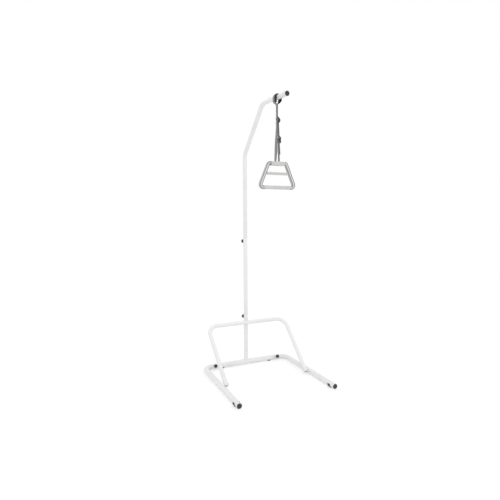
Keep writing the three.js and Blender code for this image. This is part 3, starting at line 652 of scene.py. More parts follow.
class Sweep(Solid):
    """A solid drawn by pushing closed loops along straights and bends."""

    def __init__(self, start: Vector, heading: Vector, side: Vector) -> None:
        """Start a sweep.

        Args:
            start: Where the first loops lie.
            heading: Direction of travel there.
            side: The loops' own X axis.
        """
        super().__init__()
        self.point = start.copy()
        self.heading = heading.normalized()
        self.side = side.normalized()
        self.distance = 0.0
        self.walled = False
        self.front: list[BMEdge] = []
        self.first: list[BMEdge] = []
        self.stations = [(0.0, start.copy())]

    def frame(self) -> Matrix:
        """Takes the XY plane to the current place, square to the heading.

        Returns:
            The transform.
        """
        up = self.heading.cross(self.side)
        turn = Matrix((self.side, up, self.heading)).transposed().to_4x4()
        return Matrix.Translation(self.point) @ turn

    def start(self, *loops: list[BMEdge]) -> None:
        """Take the first loops.

        Args:
            loops: Edge loops at the start.
        """
        self.walled = len(loops) > 1
        self.front = [edge for loop in loops for edge in loop]
        self.first = list(self.front)

    def push(self, matrix: Matrix, travel: float) -> None:
        """Extend the front by a transform.

        Args:
            matrix: Transform of the new front.
            travel: Distance that it adds.
        """
        self.distance += travel
        self.front = self.extend(self.front, matrix, self.distance)
        self.point = matrix @ self.point
        self.stations.append((self.distance, self.point.copy()))
        self.heading = (matrix.to_3x3() @ self.heading).normalized()
        self.side = (matrix.to_3x3() @ self.side).normalized()

    def straight(self, length: float, steps: int = 1) -> None:
        """Go straight on for a length, in a number of stretches."""
        for _ in range(steps):
            self.push(Matrix.Translation(self.heading * length / steps), length / steps)

    def bend(self, centre: Vector, axis: Vector, angle: float, steps: int) -> None:
        """Go round a centre.

        Args:
            centre: Point on the bend's axis.
            axis: Direction of that axis.
            angle: Angle of the bend.
            steps: Number of stretches.
        """
        travel = (self.point - centre).length * abs(angle) / steps
        there, turn = Matrix.Translation(centre), Matrix.Rotation(angle / steps, 4, axis)
        for _ in range(steps):
            self.push(there @ turn @ there.inverted(), travel)

    def follow(self, corners: Sequence[Vector], radii: Sequence[float], steps: int = 12) -> None:
        """Go through corner points, rounding each but the last.

        Args:
            corners: The corners after the start, the last of which is the end.
            radii: Radius at each corner before the end.
            steps: Stretches of each bend.
        """
        for corner, after, radius in zip(corners, corners[1:], radii):
            leaving = (after - corner).normalized()
            turn = self.heading.angle(leaving)
            axis = self.heading.cross(leaving).normalized()
            self.straight((corner - self.point).length - radius * math.tan(turn / 2))
            self.bend(self.point + axis.cross(self.heading) * radius, axis, turn, steps)
        self.straight((corners[-1] - self.point).length)

    def resize(self, share: float, advance: float) -> None:
        """Step the loops to another size.

        Args:
            share: Factor on their size.
            advance: Distance to go on by.
        """
        here = Matrix.Translation(self.point)
        ahead = Matrix.Translation(self.heading * advance)
        self.push(ahead @ here @ Matrix.Scale(share, 4) @ here.inverted(), abs(advance))

    def join(self) -> None:
        """Merge the last loops with the first, where the sweep comes back to its start."""
        bmesh.ops.bridge_loops(self.bm, edges=[*self.first, *self.front], use_merge=True, merge_factor=0.5)
        self.close()

    def finish(self, rounding: float = 0.0) -> None:
        """Close both ends, by a face on a single loop or by a ring between two.

        Args:
            rounding: Radius at the rims.
        """
        for edges in (self.first, self.front):
            if self.walled:
                bmesh.ops.bridge_loops(self.bm, edges=edges)
            else:
                self.cap(edges)
        if rounding:
            self.bevel([edge for edge in (*self.first, *self.front) if edge.is_valid], rounding)
        self.close()


def as_object(name: str, bm: BMesh) -> bpy.types.Object:
    """Turn a bmesh into an object of the scene.

    Args:
        name: Name of the object.
        bm: Its shape, freed afterwards.

    Returns:
        The object.
    """
    mesh = bpy.data.meshes.new(name)
    bm.to_mesh(mesh)
    bm.free()
    obj = bpy.data.objects.new(name, mesh)
    bpy.context.scene.collection.objects.link(obj)
    return obj


@dataclass
class Workshop:
    """Turns solids into pieces that ride on the frame, in the finishes they wear."""

    frame: dict
    materials: dict[str, bpy.types.Material] = field(default_factory=dict)

    def finish(self, kind: Finish) -> bpy.types.Material:
        """Material of a finish, built once.

        Args:
            kind: The finish.

        Returns:
            Its material.
        """
        if kind.name not in self.materials:
            self.materials[kind.name] = kind.material()
        return self.materials[kind.name]

    def piece(self, name: str, solid: Solid, body: Body, finishes: Sequence[Finish], *nodes: str) -> None:
        """Make a finished piece.

        Args:
            name: Name of the piece.
            solid: Its shape.
            body: Body that it rides on.
            finishes: Its finishes, in the order of its faces' material numbers.
            nodes: Nodes of the frame that it stands for.
        """
        scale = Matrix.Scale(MILLIMETRE, 4) @ Matrix.Translation((0, MAST_Y, 0))
        bmesh.ops.transform(solid.bm, matrix=scale, verts=solid.bm.verts)
        for face in solid.bm.faces:
            face.smooth = True
        for edge in solid.bm.edges:
            edge.smooth = edge.calc_face_angle(0.0) < SHARP_ANGLE
        obj = as_object(name, solid.bm)
        for kind in finishes:
            obj.data.materials.append(self.finish(kind))
        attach(obj, body.value)
        if nodes:
            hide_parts(*nodes)
        log.info("%s: %d faces on %s", name, len(obj.data.polygons), body.value)

    def dress(self, node: str, kind: Finish) -> None:
        """Give a node of the frame a finish.

        Args:
            node: The node.
            kind: Its finish.
        """
        mesh = self.frame["nodes"][node].data
        mesh.materials.clear()
        mesh.materials.append(self.finish(kind))
        log.info("%s: dressed", node)


WHITE = EpoxyPaint("white_epoxy_paint", Slot.PAINT)
BLACK = MouldedPlastic(
    "black_moulded_plastic", Slot.PLASTIC, (0.020, 0.020, 0.021), (0.034, 0.034, 0.035), 0.48, 0.06
)
ZINC = ZincPlate("zinc_plated_steel", Slot.ZINC)
PALE = MouldedPlastic(
    "pale_grey_moulding", Slot.HANDLE, (0.62, 0.62, 0.615), (0.575, 0.575, 0.57), 0.42, 0.04
)
# Painted shade: a darker copy of the grey moulding for the handle's rim faces and the saddle's ends.
RIM_PAINTED_SHADE = MouldedPlastic("grey_moulding_painted_rim_shade", Slot.HANDLE, (0.27, 0.27, 0.265), (0.235, 0.235, 0.23), 0.46)
# Painted shade: a darker copy of the grey moulding for the ring's side walls.
WALL_PAINTED_SHADE = MouldedPlastic("grey_moulding_painted_wall_shade", Slot.HANDLE, (0.47, 0.47, 0.465), (0.43, 0.43, 0.425), 0.44)
# Painted highlight: a lighter copy of the grey moulding for the ring's recessed web.
WEB_PAINTED_HIGHLIGHT = MouldedPlastic("grey_moulding_painted_web_highlight", Slot.HANDLE, (0.80, 0.80, 0.79), (0.76, 0.76, 0.75), 0.40, 0.04)
LINING = RubberSleeve("black_sleeve", Slot.SLEEVE)
THREAD = StitchThread("grey_sewing_thread", Slot.WEBBING)


def facing(direction: Vector, point: Vector, side: Vector = X_AXIS) -> Matrix:
    """Matrix that takes Z to a direction.

    Args:
        direction: Where Z goes.
        point: Where the origin goes.
        side: Roughly where X goes, or Y where the direction lies along it.

    Returns:
        The matrix.
    """
    z = direction.normalized()
    if abs(z.dot(side)) > 0.999:
        side = Y_AXIS
    y = z.cross(side).normalized()
    return Matrix.Translation(point) @ Matrix((y.cross(z), y, z)).transposed().to_4x4()


@dataclass
class TubeStock:
    """Round steel tube: its size and how it is drawn."""

    diameter: float
    wall: float = 2.0
    shoulder: float = 0.985
    sides: int = 56

    def begin(self, start: Vector, heading: Vector, side: Vector, radius: float | None = None) -> Sweep:
        """Start a tube.

        Args:
            start: Its first end.
            heading: Direction there.
            side: Any direction square to it.
            radius: Outer radius at the start, where it isn't the stock's.

        Returns:
            The sweep, with its outer and inner loops.
        """
        sweep = Sweep(start, heading, side)
        outer = radius or self.diameter / 2
        sweep.start(*(sweep.ring(size, self.sides, sweep.frame()) for size in (outer, outer - self.wall)))
        return sweep

    def with_spigot(self, seam: Vector, heading: Vector, side: Vector, length: float) -> Sweep:
        """Start a tube whose end is drawn in to plug into the next one.

        Args:
            seam: Where the shoulder lies.
            heading: Direction into the tube.
            side: Any direction square to it.
            length: Length of the spigot before the shoulder.

        Returns:
            The sweep, just past its shoulder.
        """
        spigot = self.diameter / 2 - self.wall - CLEARANCE
        sweep = self.begin(seam - heading * length, heading, side, spigot)
        sweep.straight(length)
        sweep.resize(self.diameter / 2 / spigot * self.shoulder, 0.05)
        sweep.resize(1 / self.shoulder, 0.35)
        return sweep


@dataclass
class ClampKnob:
    """Lobed clamp knob on a threaded stud."""

    tube_radius: float
    neck_length: float
    head_radius: float = 13.0
    head_length: float = 15.0
    lobes: int = 8
    lobe_depth: float = 1.6
    neck_radius: float = 7.5
    nut_height: float = 5.0
    standoff: float = 0.8
    round_share: float = 0.62

    def lobed(self, angle: float) -> float:
        """Factor on the head's radius at an angle."""
        dip = (0.5 - 0.5 * math.cos(self.lobes * angle)) ** 1.4
        return 1 - self.lobe_depth / self.head_radius * dip

    def head(self, place: Matrix) -> Solid:
        """Model the grip.

        Args:
            place: Takes Z to the stud's axis, from the tube's own axis.

        Returns:
            The grip.
        """
        solid = Solid()
        neck = self.tube_radius + self.nut_height + self.standoff
        base = neck + self.neck_length
        end = base + self.head_length
        stem = self.neck_radius / self.head_radius
        waist = base + self.head_length * 0.55
        stations = [
            (0.34, neck), (stem, neck), (stem, base - 1.6), (0.60, base - 1.6), (0.80, base - 0.5),
            (0.955, base + 0.4), (1.0, base + 1.9), (0.985, waist), (0.955, end - 2.2), (0.90, end - 0.7),
            (0.80, end - 0.1), (0.62, end), (0.56, end - 0.55), (0.30, end - 0.35), (0.10, end - 0.3),
        ]
        solid.cap(solid.loft(
            solid.ring(
                self.head_radius * share, 96, Matrix.Translation((0, 0, height)),
                self.lobed if share > self.round_share else None,
            )
            for share, height in stations
        ))
        return solid.close(place)

    def build(self, shop: Workshop, name: str, node: str, place: Matrix) -> None:
        """Make the knob and dress its stud and its nut.

        Args:
            shop: Where pieces are made.
            name: Name of the piece.
            node: Name of its node and of its body.
            place: Takes Z to the stud's axis, from the tube's own axis.
        """
        shop.piece(name, self.head(place), Body(node), [BLACK], node)
        shop.dress(f"{node}_stud", ZINC)
        shop.dress(f"{node}_nut", WHITE)


@dataclass
class Bolt:
    """Domed bolt with a hexagon socket."""

    radius: float = 4.0
    head_radius: float = 7.0
    head_height: float = 4.6
    socket: float = 2.9
    socket_depth: float = 2.6

    def model(self, shank: float, place: Matrix) -> Solid:
        """Model the bolt.

        Args:
            shank: Length of its shank.
            place: Takes Z from the head to the tip; the head lies below zero.

        Returns:
            The bolt.
        """
        solid = Solid()
        head, top = self.head_radius, -self.head_height
        stations = [
            (self.radius, shank), (self.radius, 0.0), (head * 0.96, 0.0), (head, -0.25), (head, top * 0.25),
            (head * 0.93, top * 0.5), (head * 0.78, top * 0.74), (head * 0.58, top * 0.92),
            (self.socket + 0.7, top), (self.socket, top + 0.3),
        ]
        rim = solid.loft(
            solid.ring(radius, 48, Matrix.Translation((0, 0, height))) for radius, height in stations
        )
        flats = solid.ring(self.socket, 48, Matrix.Translation((0, 0, top + 0.45)), self.hexagon)
        bmesh.ops.bridge_loops(solid.bm, edges=rim + flats)
        solid.cap(solid.extend(flats, Matrix.Translation((0, 0, self.socket_depth))))
        return solid.close(place)

    @staticmethod
    def hexagon(angle: float) -> float:
        """Factor that turns a circle into a hexagon inside it."""
        part = math.pi / 3
        return math.cos(part / 2) / math.cos((angle % part) - part / 2)


@dataclass
class FloorFrame:
    """Cross tube, legs with plugs and glides, hoop brace, its bolts and the clamp knobs."""

    shop: Workshop
    stock: TubeStock = field(default_factory=lambda: TubeStock(35.0))
    hoop_stock: TubeStock = field(default_factory=lambda: TubeStock(28.0))
    axis_height: float = 21.0
    leg_x: float = 331.0
    seam_x: float = 269.0
    leg_reach: float = 666.0
    corner_radius: float = 60.0
    spigot: float = 44.0
    plug_stem: float = 15.2
    plug_rim: float = 15.75
    glide_setback: float = 45.0
    glide_width: float = 22.0
    clip_wrap: float = math.radians(105)
    saddle_wrap: float = math.radians(38)
    sole_share: float = 0.43
    rear_glide_x: float = 190.0
    hoop_height: float = 327.0
    hoop_y: float = -29.3
    hoop_half: float = 308.0
    hoop_radius: float = 68.0
    foot: tuple[float, float, float] = (299.2, -361.0, 29.5)
    overhang: float = 12.0
    foot_bolt_grip: float = 16.0
    knob_x: float = 252.0
    knob_tilt: float = math.radians(22)
    knob_neck: float = 2.5
    mast_radius: float = 15.0
    mast_bolt_grip: float = 5.0
    cap_nut_flats: float = 13.0
    cap_nut_height: float = 5.3

    def build(self) -> None:
        """Make every piece of the floor frame."""
        self.cross_tube()
        for side in Side:
            self.leg(side)
            self.plug(side)
            self.glides(side)
            self.knob(side)
            self.foot_bolt(side)
        self.hoop()
        self.mast_bolt()

    def at(self, side: Side, x: float, y: float = 0.0) -> Vector:
        """Point on one side, as high as the tubes' axes."""
        return Vector((side.value * x, y, self.axis_height))

    def cross_tube(self) -> None:
        """Make the cross tube."""
        sweep = self.stock.begin(self.at(Side.LEFT, self.seam_x - CLEARANCE), X_AXIS, Y_AXIS)
        sweep.straight(2 * (self.seam_x - CLEARANCE), 3)
        sweep.finish(0.5)
        self.shop.piece("painted_cross_tube", sweep, Body.BASE, [WHITE], "cross_tube")

    def leg(self, side: Side) -> None:
        """Make a leg.

        Args:
            side: Left or right.
        """
        sweep = self.stock.with_spigot(self.at(side, self.seam_x), X_AXIS * side.value, Z_AXIS, self.spigot)
        corners = [self.at(side, self.leg_x), self.at(side, self.leg_x, -self.leg_reach)]
        sweep.follow(corners, [self.corner_radius], 20)
        sweep.finish(0.5)
        self.shop.piece(f"painted_{side.label}_leg", sweep, Body.BASE, [WHITE], f"{side.label}_leg")

    def plug(self, side: Side) -> None:
        """Make the plug in a leg's end.

        Args:
            side: Left or right.
        """
        end = self.at(side, self.leg_x, -self.leg_reach)
        solid = end_plug(self.plug_stem, self.plug_rim, end, -Y_AXIS)
        self.shop.piece(f"{side.label}_leg_end_plug", solid, Body.BASE, [BLACK], f"{side.label}_leg_plug")

    def glides(self, side: Side) -> None:
        """Make the clip glide near a leg's end and the saddle glide under the cross tube.

        Args:
            side: Left or right.
        """
        front = self.at(side, self.leg_x, self.glide_setback - self.leg_reach)
        clip = self.clip(self.clip_wrap, facing(Y_AXIS, front))
        self.shop.piece(f"{side.label}_clip_glide", clip, Body.BASE, [BLACK], f"{side.label}_front_glide")
        rear = self.at(side, self.rear_glide_x)
        saddle = self.clip(self.saddle_wrap, facing(X_AXIS, rear, -Y_AXIS))
        peg = [(0, 0), (3.0, 0), (3.0, 7.4), (2.4, 8.0), (0, 8.0)]
        saddle.turned(peg, Matrix.Translation(rear - Z_AXIS * (self.stock.diameter / 2 + 1)), 24)
        saddle.close()
        self.shop.piece(f"{side.label}_saddle_glide", saddle, Body.BASE, [BLACK], f"{side.label}_rear_glide")

    def clip(self, wrap: float, place: Matrix) -> Solid:
        """Model a glide that hugs the tube's underside and stands on a flat sole.

        Args:
            wrap: Angle from the lowest point to each lip.
            place: Takes Z to the tube's axis and Y up or down.

        Returns:
            The glide.
        """
        solid = Solid()
        inner = self.stock.diameter / 2 + CLEARANCE
        outer = self.axis_height
        down = place.inverted().to_3x3() @ -Z_AXIS
        base = math.atan2(down.y, down.x)
        half = self.glide_width / 2
        lip = [(inner, -half), (outer, -half), (outer, half), (inner, half)]
        upright = Matrix.Rotation(base - wrap, 4, "Z") @ Matrix.Rotation(math.pi / 2, 4, "X")
        front = first = solid.outline(lip, upright)
        steps = max(6, round(math.degrees(wrap) / 5))
        for _ in range(steps):
            front = solid.extend(front, Matrix.Rotation(2 * wrap / steps, 4, "Z"))
        solid.cap(first)
        solid.cap(front)
        sole = outer * self.sole_share
        for vert in solid.bm.verts:
            radius = vert.co.xy.length
            angle = math.remainder(math.atan2(vert.co.y, vert.co.x) - base, math.tau)
            if radius > (inner + outer) / 2 and radius * abs(math.sin(angle)) <= sole + 1.2:
                reach = outer / math.cos(angle)
                beside = reach * abs(math.sin(angle)) > sole
                vert.co.xy = vert.co.xy.normalized() * (min(reach, outer * 1.02) if beside else reach)
        solid.bevel([edge for edge in solid.bm.edges if edge.calc_face_angle(0.0) > math.radians(60)], 0.7)
        return solid.close(place)

    def knob(self, side: Side) -> None:
        """Make the clamp knob near an end of the cross tube.

        Args:
            side: Left or right.
        """
        direction = Vector((0, -math.cos(self.knob_tilt), math.sin(self.knob_tilt)))
        kind = ClampKnob(self.stock.diameter / 2, self.knob_neck)
        place = facing(direction, self.at(side, self.knob_x))
        kind.build(self.shop, f"{side.label}_cross_tube_knob", f"{side.label}_leg_knob", place)

    def foot_bolt(self, side: Side) -> None:
        """Make the bolt that holds a foot of the hoop.

        Args:
            side: Left or right.
        """
        x, y, z = self.foot
        head = x - self.hoop_stock.diameter / 2 - CLEARANCE
        place = facing(X_AXIS * side.value, Vector((side.value * head, y, z)))
        bolt = Bolt().model(2 * (x - head) + self.foot_bolt_grip, place)
        self.shop.piece(f"{side.label}_hoop_foot_bolt", bolt, Body.BASE, [ZINC], f"{side.label}_foot_bolt")
        self.shop.dress(f"{side.label}_rivet_nut", ZINC)

    def hoop(self) -> None:
        """Make the hoop brace."""
        ends, corners = [], []
        for side in (-1, 1):
            foot = Vector((side * self.foot[0], self.foot[1], self.foot[2]))
            corner = Vector((side * self.hoop_half, self.hoop_y, self.hoop_height))
            ends.append(foot + (foot - corner).normalized() * self.overhang)
            corners.append(corner)
        heading = (corners[0] - ends[0]).normalized()
        sweep = self.hoop_stock.begin(ends[0], heading, X_AXIS - heading * heading.dot(X_AXIS))
        sweep.follow([*corners, ends[1]], [self.hoop_radius] * 2, 20)
        sweep.finish(0.4)
        self.shop.piece("painted_hoop", sweep, Body.BASE, [WHITE], "hoop_brace")

    def mast_bolt(self) -> None:
        """Make the bolt and cap nut that hold the hoop to the mast."""
        start = self.hoop_y - self.hoop_stock.diameter / 2 - CLEARANCE
        shank = self.mast_radius + self.mast_bolt_grip - start
        bolt = Bolt().model(shank, facing(Y_AXIS, Vector((0, start, self.hoop_height))))
        self.shop.piece("hoop_to_mast_bolt", bolt, Body.BASE, [ZINC], "hoop_mast_bolt")
        solid = Solid()
        base = solid.ring(self.cap_nut_flats / math.sqrt(3), 6, Matrix())
        top = solid.extend(base, Matrix.Translation((0, 0, self.cap_nut_height)))
        solid.cap(base)
        solid.cap(top)
        solid.bevel([*top, *base], 0.7)
        dome = [(0, 4.9), (6.3, 4.9), (6.3, 5.6), (5.9, 7.3), (4.6, 9.0), (2.6, 9.8), (0, 10.0)]
        solid.turned(dome, Matrix(), 36)
        solid.close(facing(Y_AXIS, Vector((0, self.mast_radius + CLEARANCE, self.hoop_height))))
        self.shop.piece("hoop_to_mast_cap_nut", solid, Body.BASE, [ZINC], "hoop_mast_nut")


def end_plug(stem: float, rim: float, end: Vector, direction: Vector) -> Solid:
    """Model a push-in tube plug with a domed face and a shallow dimple.

    Args:
        stem: Radius inside the tube.
        rim: Radius of the head.
        end: Middle of the tube's end.
        direction: Direction out of the tube.

    Returns:
        The plug.
    """
    solid = Solid()
    solid.turned([
        (0, -1.0), (2.4, -1.0), (3.4, -0.75), (4.4, -0.1), (5.4, 0.0), (rim * 0.62, -0.08),
        (rim * 0.84, -0.4), (rim - 0.9, -1.0), (rim - 0.2, -1.8), (rim, -2.4), (rim, -2.7),
        (stem, -2.7), (stem, -8.0), (stem - 0.5, -8.6), (stem, -9.2), (stem, -12.4), (stem - 0.5, -13.0),
        (stem - 0.6, -18.7), (stem - 2.5, -18.7), (stem - 2.5, -6.0), (0, -6.0),
    ], facing(direction, end + direction * PLUG_STANDOUT), 48)
    return solid.close()


@dataclass
class Mast:
    """Lower and middle mast tubes, the boom tube, its pins and plug, and the mast's knobs."""

    shop: Workshop
    stock: TubeStock = field(default_factory=lambda: TubeStock(30.0))
    foot_height: float = 21.0
    foot_radius: float = 17.5
    lower_seam: float = 385.0
    upper_seam: float = 955.0
    spigot: float = 50.0
    first_bend: float = 1560.0
    incline_run: float = 302.0
    incline_rise: float = 287.0
    boom_run: float = 328.0
    boom_drop: float = 28.0
    bend_radius: float = 80.0
    knob_below: float = 26.0
    knob_neck: float = 14.8
    knob_radius: float = 14.2
    weld_out: float = 0.6
    weld_radius: float = 2.1
    pin_height: float = 11.0
    plug_stem: float = 12.7
    plug_rim: float = 14.8
    stops: tuple[float, float] = (392.0, 589.0)

    @property
    def second_bend(self) -> Vector:
        """Corner between the incline and the boom."""
        return Vector((0, -self.incline_run, self.first_bend + self.incline_rise))

    @property
    def boom_end(self) -> Vector:
        """Middle of the boom's end."""
        return Vector((0, -self.incline_run - self.boom_run, self.second_bend.z - self.boom_drop))

    def on_boom(self, reach: float) -> Vector:
        """Point on the boom's axis at a distance in front of the mast."""
        return self.second_bend.lerp(self.boom_end, (reach - self.incline_run) / self.boom_run)

    def build(self) -> None:
        """Make every piece of the mast."""
        self.lower()
        self.middle()
        self.boom()
        self.boom_fittings()
        for name, seam in (("lower", self.lower_seam), ("upper", self.upper_seam)):
            kind = ClampKnob(self.stock.diameter / 2, self.knob_neck, self.knob_radius)
            place = facing(Y_AXIS, Vector((0, 0, seam - self.knob_below)))
            kind.build(self.shop, f"{name}_clamp_knob", f"{name}_mast_knob", place)

    def lower(self) -> None:
        """Make the lower tube, coped on the cross tube, and its weld."""
        sweep = self.stock.begin(Vector((0, 0, self.foot_height)), Z_AXIS, X_AXIS)
        for edge in sweep.first:
            for vert in edge.verts:
                vert.co.z = self.foot_height + math.sqrt(self.foot_radius ** 2 - vert.co.y ** 2) + 0.2
        sweep.straight(0.0)
        sweep.point.z = self.foot_height + self.foot_radius + 8
        for vert in {vert for edge in sweep.front for vert in edge.verts}:
            vert.co.z = sweep.point.z
        sweep.straight(self.lower_seam - CLEARANCE - sweep.point.z, 3)
        sweep.finish()
        self.shop.piece("painted_lower_mast", sweep, Body.BASE, [WHITE], "mast_lower_tube")
        self.weld()

    def weld(self) -> None:
        """Make the fillet weld round the mast's foot."""
        solid = Solid()
        around, count, middle = 10, 144, self.stock.diameter / 2 + self.weld_out
        front = first = solid.ring(self.weld_radius, around, facing(Y_AXIS, X_AXIS * middle))
        for _ in range(count - 1):
            front = solid.extend(front, Matrix.Rotation(math.tau / count, 4, "Z"))
        bmesh.ops.bridge_loops(solid.bm, edges=[*front, *first])
        for vert in solid.bm.verts:
            ripple = 1 + 0.16 * math.cos(math.atan2(vert.co.y, vert.co.x) * 36)
            vert.co.xy = vert.co.xy.normalized() * (middle + (vert.co.xy.length - middle) * ripple)
            drop = math.sqrt(self.foot_radius ** 2 - min(abs(vert.co.y), self.foot_radius - 0.5) ** 2)
            vert.co.z = vert.co.z * ripple + self.foot_height + drop + 0.7
        self.shop.piece("mast_foot_weld", solid.close(), Body.BASE, [WHITE])

    def middle(self) -> None:
        """Make the middle tube."""
        sweep = self.stock.with_spigot(Vector((0, 0, self.lower_seam)), Z_AXIS, X_AXIS, self.spigot)
        sweep.straight(self.upper_seam - CLEARANCE - sweep.point.z, 3)
        sweep.finish(0.4)
        self.shop.piece("painted_middle_mast", sweep, Body.MIDDLE, [WHITE], "mast_middle_tube")

    def boom(self) -> None:
        """Make the boom tube with its two bends."""
        sweep = self.stock.with_spigot(Vector((0, 0, self.upper_seam)), Z_AXIS, X_AXIS, self.spigot)
        corners = [Vector((0, 0, self.first_bend)), self.second_bend, self.boom_end]
        sweep.follow(corners, [self.bend_radius] * 2, 16)
        sweep.finish(0.4)
        self.shop.piece("painted_boom", sweep, Body.BOOM, [WHITE], "boom_tube")

    def boom_fittings(self) -> None:
        """Make the stop pins and the end plug."""
        direction = (self.boom_end - self.second_bend).normalized()
        low = self.stock.diameter / 2 - self.stock.wall
        top = self.stock.diameter / 2 + self.pin_height
        dome = [(4, top - 2.2), (3.7, top - 1.1), (3.0, top - 0.4), (1.8, top - 0.05), (0, top)]
        for name, reach in zip(("rear", "front"), self.stops):
            solid = Solid()
            place = facing(direction.cross(X_AXIS), self.on_boom(reach))
            solid.turned([(0, low), (4, low), *dome], place, 32)
            self.shop.piece(f"{name}_strap_stop", solid.close(), Body.BOOM, [WHITE], f"{name}_stop_pin")
        plug = end_plug(self.plug_stem, self.plug_rim, self.boom_end, direction)
        self.shop.piece("boom_end_plug", plug, Body.BOOM, [BLACK], "boom_plug")


@dataclass
class Buckle:
    """Moulded slide buckle: two bowed cheeks and three round bars."""

    width: float
    height: float
    bow: float
    bars: tuple[tuple[float, float], ...]
    hollow: float = 0.0
    bar_radius: float = 2.5
    rail: float = 4.5
    play: float = 1.5
    corner: float = 2.2
    edge: float = 0.9

    def cheek_outline(self) -> list[tuple[float, float]]:
        """Corners of a cheek: flat at the back, bowed at the front.

        Returns:
            The corners in order.
        """
        back, half = -self.bar_radius, self.height / 2
        front_shares = ((0.30, 1.0), (0.66, 0.66), (0.90, 0.34), (1.0, 0.0))
        upper = [(share * self.bow, level * half) for share, level in front_shares]
        lower = [(x, -z) for x, z in reversed(upper[:-1])]
        inside = []
        if self.hollow:
            steps = ((0.0, -0.62), (0.75, -0.40), (1.0, 0.0), (0.75, 0.40), (0.0, 0.62))
            inside = [(back + share * self.hollow, level * half) for share, level in steps]
        return [(back, -half), *inside, (back, half), *upper, *lower]

    def model(self, place: Matrix) -> Solid:
        """Model the buckle.

        Args:
            place: Takes the XY plane to the cheeks' own plane and Z along the bars.

        Returns:
            The buckle.
        """
        solid = Solid()
        reach = self.width / 2 + self.play
        for side in (-1, 1):
            low = min(side * reach, side * (reach + self.rail))
            loop = solid.outline(self.cheek_outline(), Matrix.Translation((0, 0, low)), self.corner, 5)
            far = solid.extend(loop, Matrix.Translation((0, 0, self.rail)))
            solid.cap(loop)
            solid.cap(far)
            solid.bevel([*loop, *far], self.edge, 3)
        half = reach + self.rail / 2
        for x, drop in self.bars:
            centre = Matrix.Translation((x, self.height / 2 - self.bar_radius - drop, -half))
            radius = self.bar_radius
            solid.turned([(0, 0), (radius, 0), (radius, 2 * half), (0, 2 * half)], centre, 28)
        return solid.close(place)


